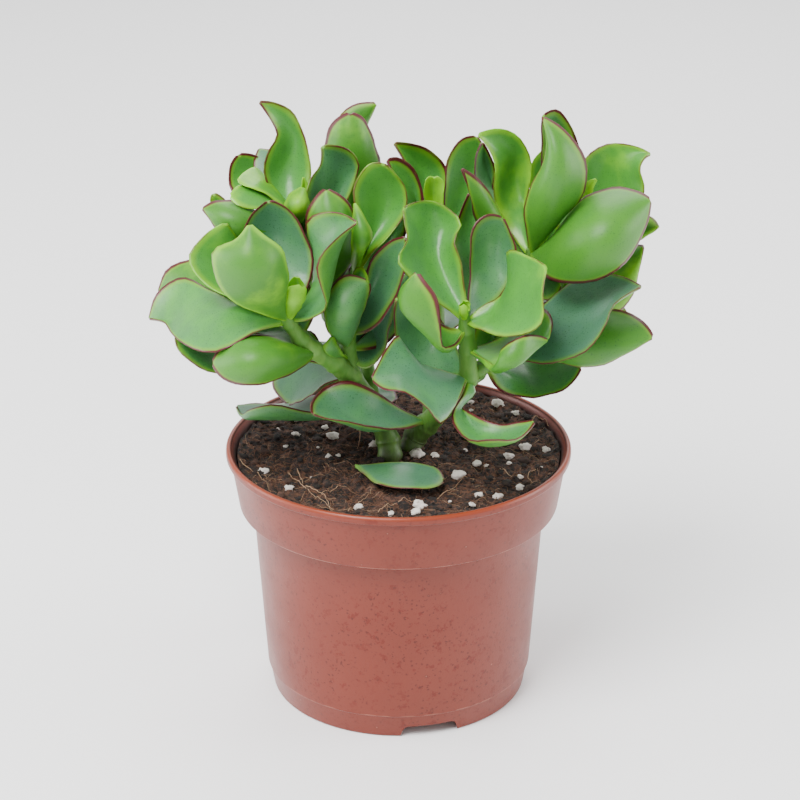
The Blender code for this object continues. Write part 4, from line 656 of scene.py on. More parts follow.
def finish_piece(mesh, name, material, nodes=(), sharp=None):
    """Makes the mesh an object that rides with the part and stands for its nodes."""
    bmesh.ops.recalc_face_normals(mesh, faces=mesh.faces)
    data = bpy.data.meshes.new(name)
    mesh.to_mesh(data)
    mesh.free()
    data.materials.append(material)
    data.shade_smooth()
    if sharp:
        data.set_sharp_from_angle(angle=sharp)
    piece = bpy.data.objects.new(name, data)
    bpy.context.scene.collection.objects.link(piece)
    return attach(piece, nodes)


def attach(piece, nodes=()):
    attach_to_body(piece, "root")
    if nodes:
        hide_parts(*nodes)
    return piece


class Shades:
    """A material's node tree, with short calls to add and join its nodes."""

    def __init__(self, name):
        self.material = bpy.data.materials.new(name)
        self.material.use_nodes = True
        self.tree = self.material.node_tree
        self.shader = self.tree.nodes["Principled BSDF"]

    def node(self, kind, **settings):
        made = self.tree.nodes.new(kind)
        for key, value in settings.items():
            setattr(made, key, value)
        return made

    def feed(self, target, value):
        if isinstance(value, bpy.types.NodeSocket):
            self.tree.links.new(value, target)
        else:
            target.default_value = value

    def attribute(self, name):
        return self.node("ShaderNodeAttribute", attribute_name=name).outputs["Fac"]

    def place(self):
        return self.node("ShaderNodeTexCoord").outputs["Object"]

    def noise(self, scale, detail=3.0, rough=0.5, stretch=None):
        made = self.node("ShaderNodeTexNoise")
        made.inputs["Scale"].default_value = scale
        made.inputs["Detail"].default_value = detail
        made.inputs["Roughness"].default_value = rough
        spot = self.place()
        if stretch:
            mapping = self.node("ShaderNodeMapping")
            mapping.inputs["Scale"].default_value = stretch
            self.feed(mapping.inputs["Vector"], spot)
            spot = mapping.outputs["Vector"]
        self.feed(made.inputs["Vector"], spot)
        return made.outputs["Fac"]

    def ramp(self, value, low, high, start=0.0, end=1.0):
        """The value from low to high, brought to start to end."""
        made = self.node("ShaderNodeMapRange", interpolation_type="SMOOTHSTEP")
        self.feed(made.inputs["Value"], value)
        for key, number in (("From Min", low), ("From Max", high), ("To Min", start), ("To Max", end)):
            made.inputs[key].default_value = number
        return made.outputs["Result"]

    def math(self, operation, first, second):
        made = self.node("ShaderNodeMath", operation=operation)
        self.feed(made.inputs[0], first)
        self.feed(made.inputs[1], second)
        return made.outputs["Value"]

    def mix(self, share, first, second):
        made = self.node("ShaderNodeMix", data_type="RGBA")
        self.feed(made.inputs["Factor"], share)
        self.feed(made.inputs["A"], first)
        self.feed(made.inputs["B"], second)
        return made.outputs["Result"]

    def specks(self, scale, size, spread):
        made = self.node("ShaderNodeGroup", node_tree=specks_group())
        made.inputs["Scale"].default_value = scale
        made.inputs["Size"].default_value = size
        made.inputs["Spread"].default_value = spread
        return made.outputs["Mask"]

    def bump(self, height, strength, distance):
        made = self.node("ShaderNodeBump")
        made.inputs["Strength"].default_value = strength
        made.inputs["Distance"].default_value = distance
        self.feed(made.inputs["Height"], height)
        self.feed(self.shader.inputs["Normal"], made.outputs["Normal"])

    def steady(self, **values):
        """Values that are the same all over, on the shader's own sockets."""
        for key, value in values.items():
            self.shader.inputs[key.replace("_", " ")].default_value = value


def specks_group():
    """Scattered round specks, one in a random share of the cells."""
    if "Scattered specks" in bpy.data.node_groups:
        return bpy.data.node_groups["Scattered specks"]
    group = bpy.data.node_groups.new("Scattered specks", "ShaderNodeTree")
    for name in ("Scale", "Size", "Spread"):
        group.interface.new_socket(name, in_out="INPUT", socket_type="NodeSocketFloat")
    group.interface.new_socket("Mask", in_out="OUTPUT", socket_type="NodeSocketFloat")
    nodes, links = group.nodes, group.links
    inward = nodes.new("NodeGroupInput")
    outward = nodes.new("NodeGroupOutput")
    place = nodes.new("ShaderNodeTexCoord")
    cells = nodes.new("ShaderNodeTexVoronoi")
    links.new(place.outputs["Object"], cells.inputs["Vector"])
    links.new(inward.outputs["Scale"], cells.inputs["Scale"])
    dot = nodes.new("ShaderNodeMapRange")
    dot.interpolation_type = "SMOOTHSTEP"
    links.new(cells.outputs["Distance"], dot.inputs["Value"])
    links.new(inward.outputs["Size"], dot.inputs["From Max"])
    dot.inputs["To Min"].default_value = 1.0
    dot.inputs["To Max"].default_value = 0.0
    lot = nodes.new("ShaderNodeSeparateColor")
    links.new(cells.outputs["Color"], lot.inputs["Color"])
    chosen = nodes.new("ShaderNodeMath")
    chosen.operation = "LESS_THAN"
    links.new(lot.outputs["Red"], chosen.inputs[0])
    links.new(inward.outputs["Spread"], chosen.inputs[1])
    both = nodes.new("ShaderNodeMath")
    both.operation = "MULTIPLY"
    links.new(dot.outputs["Result"], both.inputs[0])
    links.new(chosen.outputs["Value"], both.inputs[1])
    links.new(both.outputs["Value"], outward.inputs["Mask"])
    return group


def leaf_material(name, colours, edge_width):
    """Fleshy leaf: green under a waxy bloom, a painted yellow-green glow of light through the thin edge just inside
    it, and a purple line on the edge.
    """
    shades = Shades(name)
    bloom = shades.attribute("bloom")
    patches = shades.noise(55.0, 4.0, 0.55)
    waxy = shades.math("ADD", bloom, shades.ramp(patches, 0.3, 0.7, -0.14, 0.14))
    upper = shades.mix(shades.ramp(waxy, 0.0, 0.3), colours.young_colour, colours.fresh_colour)
    upper = shades.mix(shades.ramp(waxy, 0.3, 1.0), upper, colours.bloom_colour)
    under = shades.mix(shades.ramp(waxy, 0.0, 0.3), colours.young_colour, colours.under_colour)
    under = shades.mix(shades.ramp(waxy, 0.45, 1.1, 0.0, 0.7), under, colours.bloom_colour)
    facing = shades.ramp(shades.attribute("face"), -0.25, 0.25)
    skin = shades.mix(facing, under, upper)
    cloud = shades.ramp(shades.noise(110.0, 4.0, 0.6), 0.3, 0.7, 0.0, 0.25)
    skin = shades.mix(cloud, skin, colours.shade_colour)
    dots = shades.math("MAXIMUM", shades.specks(900.0, 0.34, 0.45), shades.specks(1650.0, 0.42, 0.5))
    dots = shades.math("MULTIPLY", dots, shades.ramp(waxy, 0.1, 0.7, 0.25, 0.75))
    skin = shades.mix(dots, skin, colours.dot_colour)
    rim = shades.attribute("rim")
    # Painted light: a yellow-green glow just inside the edge, where light shines through the thin flesh; weaker on
    # bloomy leaves
    glow = shades.math("MULTIPLY", shades.ramp(rim, 0.4, 2.0, 1.0, 0.0), shades.ramp(bloom, 0.0, 1.0, 0.85, 0.5))
    skin = shades.mix(glow, skin, colours.painted_edge_glow_colour)
    blush = shades.attribute("blush")
    ragged = shades.ramp(shades.noise(120.0, 2.0), 0.35, 0.65, -0.12, 0.12)
    along = shades.ramp(shades.attribute("along"), 0.02, 0.2)
    strong = shades.ramp(shades.math("ADD", blush, ragged), 0.05, 0.55)
    edged = shades.math("MULTIPLY", strong, along)
    haze = shades.math("MULTIPLY", shades.ramp(rim, 0.4, 1.8, 0.3, 0.0), edged)
    skin = shades.mix(haze, skin, colours.edge_colour)
    widened = shades.math("DIVIDE", rim, shades.math("ADD", shades.math("MULTIPLY", blush, 0.7), 0.4))
    line = shades.math("MULTIPLY", shades.ramp(widened, edge_width * 0.7, edge_width * 1.25, 1.0, 0.0), edged)
    skin = shades.mix(line, skin, colours.edge_colour)
    shades.feed(shades.shader.inputs["Base Color"], skin)
    shades.feed(shades.shader.inputs["Roughness"], shades.ramp(facing, 0.0, 1.0, 0.46, 0.32))
    shades.steady(Specular_IOR_Level=0.32)
    shades.steady(Subsurface_Weight=0.15, Subsurface_Radius=(0.5, 1.0, 0.25), Subsurface_Scale=0.002)
    pores = shades.math("ADD", shades.noise(900.0, 2.0), shades.noise(190.0, 3.0, 0.6))
    hollows = shades.math("MULTIPLY", shades.noise(65.0, 2.0), 5.0)
    shades.bump(shades.math("ADD", pores, hollows), 0.14, 0.0004)
    return shades.material


def pot_material(colours):
    """Moulded plastic: soft blotches, dark and pale specks, a warm lip, painted highlight lines at its steps and an
    inner wall darkened partly by painted shade.
    """
    shades = Shades("terracotta plastic")
    place = shades.node("ShaderNodeSeparateXYZ")
    shades.feed(place.inputs["Vector"], shades.place())
    height = place.outputs["Z"]
    cloud = shades.noise(38.0, 5.0, 0.6)
    skin = shades.mix(shades.ramp(cloud, 0.35, 0.7, 0.0, 0.16), colours.colour, colours.speck_colour)
    pale = shades.ramp(shades.noise(16.0, 3.0, 0.5), 0.35, 0.7, 0.0, 0.35)
    skin = shades.mix(pale, skin, colours.pale_colour)
    patches = shades.ramp(shades.noise(34.0, 3.0, 0.6), 0.35, 0.6, 0.4, 1.0)
    blotches = shades.ramp(shades.noise(260.0, 5.0, 0.75), 0.55, 0.62)
    skin = shades.mix(shades.math("MULTIPLY", blotches, patches), skin, colours.blotch_colour)
    flecks = shades.ramp(shades.noise(780.0, 3.0, 0.6), 0.6, 0.68, 0.0, 0.9)
    skin = shades.mix(shades.math("MULTIPLY", flecks, patches), skin, colours.speck_colour)
    for scale, size, spread in POT_SPECKS:
        specks = shades.math("MULTIPLY", shades.specks(scale, size, spread), patches)
        skin = shades.mix(specks, skin, colours.speck_colour)
    # Pale dust specks, in the colour that the painted highlight lines share
    skin = shades.mix(shades.specks(230.0, 0.09, 0.4), skin, colours.dust_and_highlight_colour)
    # Painted highlights: thin broken pale lines along the edges at the collar's foot and the base seam
    broken = shades.ramp(shades.noise(190.0, 2.0), 0.4, 0.6, 0.0, 0.6)
    for level in PAINTED_HIGHLIGHT_LEVELS:
        away = shades.math("ABSOLUTE", shades.math("SUBTRACT", height, level * MM), 0.0)
        line = shades.math("MULTIPLY", shades.ramp(away, 0.08 * MM, 0.22 * MM, 1.0, 0.0), broken)
        skin = shades.mix(line, skin, colours.dust_and_highlight_colour)
    lip = shades.ramp(height, (RIM_HEIGHT - 1.3) * MM, (RIM_HEIGHT - 0.5) * MM)
    skin = shades.mix(lip, skin, colours.lip_colour)
    # The inner wall: its own darker colour, deepened with painted shade inside the pot
    inside = shades.math("MULTIPLY", shades.attribute("inside"), 0.95)
    skin = shades.mix(inside, skin, colours.dark_inside_and_shade_colour)
    shades.feed(shades.shader.inputs["Base Color"], skin)
    satin = shades.ramp(cloud, 0.3, 0.7, 0.3, 0.42)
    shades.feed(shades.shader.inputs["Roughness"], shades.math("ADD", satin, shades.math("MULTIPLY", inside, 0.5)))
    shades.steady(Specular_IOR_Level=0.36)
    grain = shades.math("ADD", shades.noise(1500.0, 2.0), shades.noise(60.0, 3.0, 0.5))
    shades.bump(grain, 0.1, 0.0004)
    return shades.material


def soil_material(name, dark, light, shade=None):
    """Potting mix: dark and light crumbs, stained here and there."""
    shades = Shades(name)
    crumbs = shades.noise(420.0, 6.0, 0.65)
    share = shades.ramp(crumbs, 0.42, 0.72)
    if shade:
        share = shades.math("MULTIPLY", shades.math("ADD", share, 0.25), shades.attribute(shade))
    skin = shades.mix(share, dark, light)
    shades.feed(shades.shader.inputs["Base Color"], skin)
    shades.steady(Roughness=0.92)
    shades.bump(shades.noise(1300.0, 5.0, 0.7), 0.9, 0.0008)
    return shades.material


def grain_material(colour, stain):
    """White puffed grains with pores and a little soil on them."""
    shades = Shades("puffed grain")
    stained = shades.math("MULTIPLY", shades.ramp(shades.noise(500.0, 4.0, 0.6), 0.5, 0.75), 0.55)
    shades.feed(shades.shader.inputs["Base Color"], shades.mix(stained, colour, stain))
    shades.steady(Roughness=0.85)
    shades.bump(shades.noise(1800.0, 4.0, 0.65), 0.6, 0.0005)
    return shades.material


def fibre_material(name, dark, light):
    shades = Shades(name)
    shades.feed(shades.shader.inputs["Base Color"], shades.mix(shades.noise(90.0, 2.0), dark, light))
    shades.steady(Roughness=0.8)
    return shades.material


def stem_material(colours):
    """Green stems that turn brown and corky near the soil, with paler streaks along them."""
    shades = Shades("jade stem")
    height = shades.node("ShaderNodeSeparateXYZ")
    shades.feed(height.inputs["Vector"], shades.place())
    streaks = shades.noise(260.0, 4.0, 0.6, stretch=(1.0, 1.0, 0.25))
    skin = shades.mix(shades.ramp(streaks, 0.35, 0.7), colours.stem_colour, colours.stem_pale_colour)
    age = shades.ramp(shades.math("ADD", height.outputs["Z"], shades.ramp(streaks, 0.2, 0.8, -0.006, 0.006)),
                      0.086, 0.106, 0.85, 0.0)
    skin = shades.mix(age, skin, colours.bark_colour)
    shades.feed(shades.shader.inputs["Base Color"], skin)
    shades.steady(Roughness=0.5, Specular_IOR_Level=0.3, Subsurface_Weight=0.1, Subsurface_Scale=0.002)
    shades.bump(streaks, 0.35, 0.0006)
    return shades.material


def colour_property(name, description, default):
    return bpy.props.FloatVectorProperty(
        name=name, description=description, default=(*default, 1.0), subtype="COLOR", size=4, min=0.0, max=1.0
    )


def size_property(name, description, default, least=0.0, most=1.0):
    return bpy.props.FloatProperty(
        name=name, description=description, default=default, min=least, max=most, subtype="DISTANCE", unit="LENGTH"
    )


class JadePotSettings(bpy.types.PropertyGroup):
    rim_radius: size_property("Rim radius", "Outer radius of the lip", POT_HIGH[0], 0.02, 0.5)
    wall: size_property("Wall", "Thickness of the moulded wall", 0.0013, 0.0005, 0.01)
    colour: colour_property("Plastic", "Main colour of the pot", (0.158, 0.0235, 0.0115))
    pale_colour: colour_property("Pale plastic", "Colour of its faint pale clouds", (0.185, 0.034, 0.018))
    lip_colour: colour_property("Lip", "Colour of the top of the lip", (0.20, 0.031, 0.010))
    speck_colour: colour_property("Specks", "Colour of its dark specks", (0.07, 0.008, 0.003))
    blotch_colour: colour_property("Blotches", "Colour of its soft orange blotches", (0.125, 0.011, 0.003))
    # Pale colour of the dust specks and of the painted highlight lines at the steps
    dust_and_highlight_colour: colour_property("Worn lines", "Colour of its pale lines and dust", (0.36, 0.13, 0.085))
    # Dark inner wall: partly the wall's own darker colour, partly painted shade
    dark_inside_and_shade_colour: colour_property("Inside", "Colour of the stained inner wall", (0.022, 0.007, 0.006))


class JadeLeafSettings(bpy.types.PropertyGroup):
    thickness: size_property("Thickness", "Thickness of a full-grown leaf", 0.0024, 0.0006, 0.01)
    edge_width: size_property("Edge width", "Width of the purple line on the edge", 0.00072, 0.0001, 0.003)
    fresh_colour: colour_property("Fresh green", "Upper face of a fresh leaf", (0.07, 0.285, 0.035))
    young_colour: colour_property("Young green", "A leaf that is still opening", (0.19, 0.46, 0.008))
    bloom_colour: colour_property("Bloom", "Upper face under its waxy bloom", (0.065, 0.17, 0.105))
    under_colour: colour_property("Underside", "Lower face of a leaf", (0.052, 0.20, 0.013))
    shade_colour: colour_property("Deep green", "Faint darker clouds in the skin", (0.03, 0.13, 0.018))
    # Painted light: the yellow-green glow of light through the thin leaf edge
    painted_edge_glow_colour: colour_property("Glow", "Just inside the edge", (0.20, 0.47, 0.012))
    edge_colour: colour_property("Edge", "The purple line on the edge", (0.078, 0.011, 0.013))
    dot_colour: colour_property("Dots", "The small dark dots of the skin", (0.01, 0.05, 0.015))
    stem_colour: colour_property("Stem", "Young stem", (0.07, 0.195, 0.024))
    stem_pale_colour: colour_property("Pale stem", "Streaks on the stem", (0.12, 0.26, 0.045))
    bark_colour: colour_property("Bark", "Old stem near the soil", (0.035, 0.036, 0.014))


class JadeSoilSettings(bpy.types.PropertyGroup):
    crumbs: bpy.props.IntProperty(name="Crumbs", description="Loose crumbs on the soil", default=2600, min=0, max=4000)
    fibres: bpy.props.IntProperty(name="Fibres", description="Coir fibres in the soil", default=3000, min=0, max=4000)
    dark_colour: colour_property("Dark soil", "Damp potting mix", (0.008, 0.005, 0.004))
    light_colour: colour_property("Light soil", "Dry crumbs", (0.12, 0.052, 0.03))
    fibre_colour: colour_property("Fibre", "Coir fibres", (0.20, 0.08, 0.035))
    root_colour: colour_property("Roots", "Pale roots and straws", (0.46, 0.32, 0.20))
    grain_colour: colour_property("Grains", "White puffed grains", (0.60, 0.55, 0.50))


class JadeStageSettings(bpy.types.PropertyGroup):
    floor_size: size_property("Floor size", "Width of the floor", 6.0, 1.0, 20.0)
    floor_colour: colour_property("Floor", "Colour of the floor", (0.9, 0.9, 0.9))
    key_power: bpy.props.FloatProperty(name="Key light", description="Power of the soft key light", default=29.0, min=0.0)
    fill_power: bpy.props.FloatProperty(name="Fill light", description="Power of the side and back lights", default=8.0, min=0.0)
    sky: bpy.props.FloatProperty(name="Sky", description="Strength of the white surroundings", default=0.98, min=0.0)


def arc(radius, height, size, start, end, steps=5):
    """Points of a profile on an arc round (radius, height), in mm, from one angle to another in degrees."""
    turns = np.radians(np.linspace(start, end, steps))
    return [(radius + size * math.cos(turn), height + size * math.sin(turn)) for turn in turns]


def spun(profile, steps):
    """A mesh turned round the axis from a closed profile of (radius, height) in mm."""
    mesh = bmesh.new()
    verts = [mesh.verts.new((radius * MM, 0.0, height * MM)) for radius, height in profile]
    for a, b in zip(verts, verts[1:]):
        mesh.edges.new((a, b))
    if profile[0][0] > 0.0:
        mesh.edges.new((verts[-1], verts[0]))
    bmesh.ops.spin(mesh, geom=mesh.verts[:] + mesh.edges[:], axis=(0, 0, 1), cent=(0, 0, 0), steps=steps,
                   angle=2 * math.pi, use_merge=True)
    bmesh.ops.remove_doubles(mesh, verts=mesh.verts, dist=1e-6)
    bmesh.ops.dissolve_degenerate(mesh, edges=mesh.edges, dist=1e-7)
    bmesh.ops.recalc_face_normals(mesh, faces=mesh.faces)
    return mesh


def wall_radius(height, wall):
    """The pot's inner radius at a height, both in mm."""
    step_foot = COLLAR_FOOT_HEIGHT + 0.6 * wall
    step_top = COLLAR_FOOT_HEIGHT + 1.5 * wall
    heights = (0.0, SEAM_HEIGHT, step_foot, step_top, RIM_HEIGHT)
    radii = (BASE_RADIUS, SEAM_RADIUS, BODY_TOP_RADIUS, COLLAR_FOOT_RADIUS, COLLAR_TOP_RADIUS)
    return float(np.interp(height, heights, radii)) - wall


def notch_cutter(heading):
    """A wedge for one notch in the base ring, with rounded top corners."""
    mesh = bmesh.new()
    bmesh.ops.create_cube(mesh, size=1.0)
    bmesh.ops.scale(mesh, verts=mesh.verts, vec=(NOTCH_WIDTH * MM, 10 * MM, 2 * NOTCH_HEIGHT * MM))
    for vert in mesh.verts:
        if vert.co.z > 0:
            vert.co.x *= NOTCH_TOP_WIDTH / NOTCH_WIDTH
    upright = [edge for edge in mesh.edges if all(vert.co.z > 0 for vert in edge.verts)
               and abs(edge.verts[0].co.x - edge.verts[1].co.x) < 1e-6]
    bmesh.ops.bevel(mesh, geom=upright, offset=1.6 * MM, segments=5, profile=0.5, affect="EDGES", material=-1)
    bmesh.ops.translate(mesh, verts=mesh.verts, vec=(0, -(BASE_RADIUS - 1) * MM, 0))
    turn = math.sin(heading), math.cos(heading)
    for vert in mesh.verts:
        x, y = vert.co.x, vert.co.y
        vert.co.x = x * turn[1] - y * turn[0]
        vert.co.y = x * turn[0] + y * turn[1]
    return mesh


def cut(piece, cutters):
    """Cuts the cutter meshes from the piece."""
    for mesh in cutters:
        data = bpy.data.meshes.new("cutter")
        bmesh.ops.recalc_face_normals(mesh, faces=mesh.faces)
        mesh.to_mesh(data)
        mesh.free()
        cutter = bpy.data.objects.new("cutter", data)
        bpy.context.scene.collection.objects.link(cutter)
        modifier = piece.modifiers.new("cut", "BOOLEAN")
        modifier.operation = "DIFFERENCE"
        modifier.object = cutter
        bpy.context.view_layer.objects.active = piece
        bpy.ops.object.modifier_apply(modifier=modifier.name)
        bpy.data.objects.remove(cutter)


class JADE_OT_add_pot(bpy.types.Operator):
    """Add the nursery pot: lip, collar, step, tapered body, notched base ring and drained floor"""

    bl_idname = "jade.add_pot"
    bl_label = "Add pot"

    def execute(self, context):
        settings = context.scene.jade_pot
        rim = settings.rim_radius / MM
        wall = settings.wall / MM
        lip_foot = RIM_HEIGHT - LIP_DEPTH
        inner_base = BASE_RADIUS - RING_WIDTH
        floor_top = FLOOR_HEIGHT + FLOOR_THICKNESS
        profile = [
            *arc(rim - 1.0, RIM_HEIGHT - 0.9, 0.9, 100, 45, 4),
            *arc(rim - 0.9, RIM_HEIGHT - 1.2, 0.9, 30, 0, 4),
            *arc(rim - 0.8, lip_foot + 0.6, 0.8, 0, -60, 5),
            (COLLAR_TOP_RADIUS + 0.05, lip_foot - 0.25),
            (57.1, 79.4),
            (COLLAR_FOOT_RADIUS + 0.08, COLLAR_FOOT_HEIGHT + 0.75),
            *arc(COLLAR_FOOT_RADIUS - 0.5, COLLAR_FOOT_HEIGHT + 0.5, 0.5, 0, -90, 5),
            (BODY_TOP_RADIUS + 0.5, COLLAR_FOOT_HEIGHT),
            (BODY_TOP_RADIUS + 0.15, COLLAR_FOOT_HEIGHT - 0.15),
            (BODY_TOP_RADIUS, COLLAR_FOOT_HEIGHT - 0.6),
            (49.5, 48.0),
            (48.15, 28.0),
            (SEAM_RADIUS + 0.08, SEAM_HEIGHT + 0.5),
            (SEAM_RADIUS, SEAM_HEIGHT + 0.1),
            (SEAM_RADIUS - 0.4, SEAM_HEIGHT - 0.2),
            (SEAM_RADIUS - 0.5, SEAM_HEIGHT - 0.5),
            *arc(BASE_RADIUS - 0.5, 0.9, 0.9, -8, -90, 6),
            *arc(inner_base + 0.4, 0.4, 0.4, 270, 180, 4),
            (inner_base, FLOOR_HEIGHT),
            (0.0, FLOOR_HEIGHT),
            (0.0, floor_top),
            (SEAM_RADIUS - wall - 1.2, floor_top),
            (SEAM_RADIUS - wall, SEAM_HEIGHT + 0.5),
            (wall_radius(40.0, wall), 40.0),
            (wall_radius(COLLAR_FOOT_HEIGHT + 0.6 * wall, wall), COLLAR_FOOT_HEIGHT + 0.6 * wall),
            (wall_radius(COLLAR_FOOT_HEIGHT + 1.5 * wall, wall), COLLAR_FOOT_HEIGHT + 1.5 * wall),
            (wall_radius(lip_foot, wall), lip_foot),
            (rim - 2.0, RIM_HEIGHT - 1.2),
            (rim - 1.75, RIM_HEIGHT - 0.5),
            (rim - 1.45, RIM_HEIGHT - 0.12),
        ]
        pot = finish_piece(spun(profile, TURN_STEPS), "pot_fine", pot_material(settings), ("pot",))
        cutters = [notch_cutter(NOTCH_MIDDLE + 2 * math.pi * k / NOTCH_COUNT) for k in range(NOTCH_COUNT)]
        for k in range(DRAIN_HOLES):
            turn = 2 * math.pi * (k + 0.5) / DRAIN_HOLES
            hole = bmesh.new()
            bmesh.ops.create_cone(hole, cap_ends=True, segments=32, radius1=DRAIN_RADIUS * MM,
                                  radius2=DRAIN_RADIUS * MM, depth=6 * FLOOR_THICKNESS * MM)
            spot = (DRAIN_RING * math.cos(turn) * MM, DRAIN_RING * math.sin(turn) * MM, FLOOR_HEIGHT * MM)
            bmesh.ops.translate(hole, verts=hole.verts, vec=spot)
            cutters.append(hole)
        cut(pot, cutters)
        # Marks the inner wall, which the material darkens with its own darker colour and painted shade
        inside = pot.data.attributes.new("inside", "FLOAT", "POINT")
        for vert, share in zip(pot.data.vertices, inside.data):
            radius = math.hypot(vert.co.x, vert.co.y) / MM
            height = vert.co.z / MM
            inner = wall_radius(height, wall) + INSIDE_REACH if height < RIM_HEIGHT - 1.0 else rim - LIP_WIDTH
            share.value = float(height > FLOOR_HEIGHT + INSIDE_REACH and radius < inner)
        pot.data.shade_smooth()
        pot.data.set_sharp_from_angle(angle=math.radians(40))
        return {"FINISHED"}


class JADE_OT_add_leaves(bpy.types.Operator):
    """Add the waved leaves of both cuttings"""

    bl_idname = "jade.add_leaves"
    bl_label = "Add leaves"

    def execute(self, context):
        settings = context.scene.jade_leaf
        thickness = settings.thickness / MM
        material = leaf_material("jade leaf", settings, settings.edge_width / MM)
        draw = random.Random(11)
        for node, letters in STEM_PLANT.items():
            mesh = layered_mesh(*LEAF_LAYERS)
            fine = np.linspace(0, 1, PATH_STEPS + 1)
            paths = {letter: places_along(stem_path(letter)[0], fine) for letter in letters}
            for leaf in LEAVES:
                if leaf.stem in letters:
                    rails = leaf_rails(leaf, seen, paths[leaf.stem][:-PATH_END])
                    blade = layered_mesh(*LEAF_LAYERS)
                    press_leaf(blade, rails, thickness, leaf.bloom, leaf.blush, draw.uniform(0.4, 1.0))
                    gather(mesh, blade)
            for number, (letter, up, heading, rise, length) in enumerate(HIDDEN_LEAVES):
                if letter in letters:
                    base = paths[letter][round(PATH_STEPS * up)]
                    turn = math.radians(heading), math.radians(rise)
                    rails = hidden_rails(base, *turn, length, HIDDEN_PHASE * number)
                    blade = layered_mesh(*LEAF_LAYERS)
                    press_leaf(blade, rails, thickness, draw.uniform(0.4, 0.9), draw.uniform(0.5, 0.9), 0.8)
                    gather(mesh, blade)
            finish_piece(mesh, node.replace("plant", "leaves"), material, (node,))
        return {"FINISHED"}


class JADE_OT_add_stems(bpy.types.Operator):
    """Add the jointed stems of both cuttings"""

    bl_idname = "jade.add_stems"
    bl_label = "Add stems"

    def execute(self, context):
        material = stem_material(context.scene.jade_leaf)
        for node, letters in STEM_PLANT.items():
            curve = bpy.data.curves.new(node.replace("plant", "stems"), "CURVE")
            curve.dimensions = "3D"
            curve.bevel_depth = MM
            curve.bevel_resolution = 6
            curve.use_fill_caps = True
            for letter in letters:
                places, radii, joints = stem_path(letter)
                add_spline(curve, *swollen(places, radii, joints))
            curve.materials.append(material)
            stems = bpy.data.objects.new(curve.name, curve)
            context.scene.collection.objects.link(stems)
            attach(stems, (node,))
        return {"FINISHED"}


def swollen(places, radii, joints):
    """Close places along a stem, and radii that swell at its joints."""
    where = np.linspace(0, 1, STEM_STEPS)
    line = places_along(places, where)
    reach = np.array([0.0, *np.cumsum([np.linalg.norm(b - a) for a, b in zip(places, places[1:])])])
    radius = np.interp(where, reach / reach[-1], radii)
    for joint in joints:
        nearest = line[np.argmin(np.linalg.norm(line - joint, axis=1))]
        gap = np.linalg.norm(line - nearest, axis=1)
        radius = radius * (1 + (NODE_SWELL - 1) * np.exp(-((gap / NODE_LENGTH) ** 2)))
    return line, radius


def add_spline(curve, places, radii, material_index=0):
    spline = curve.splines.new("POLY")
    spline.points.add(len(places) - 1)
    for point, place, radius in zip(spline.points, places, radii):
        point.co = (*[value * MM for value in place], 1.0)
        point.radius = radius
    spline.use_smooth = True
    spline.material_index = material_index


class JADE_OT_add_fallen_leaf(bpy.types.Operator):
    """Add the leaf that has dropped on the soil"""

    bl_idname = "jade.add_fallen_leaf"
    bl_label = "Add fallen leaf"

    def execute(self, context):
        settings = context.scene.jade_leaf

        def place(across, down, lift):
            return seen_at_height(across, down, lambda x, y: FALLEN_LEVEL + lift)

        mesh = layered_mesh(*LEAF_LAYERS)
        rails = leaf_rails(FALLEN_LEAF, place)
        press_leaf(mesh, rails, FALLEN_THICKNESS, FALLEN_LEAF.bloom, FALLEN_LEAF.blush, FALLEN_RIPPLE)
        material = leaf_material("dropped leaf", settings, settings.edge_width / MM)
        finish_piece(mesh, "fallen_leaf_fine", material, ("fallen_leaf",))
        return {"FINISHED"}


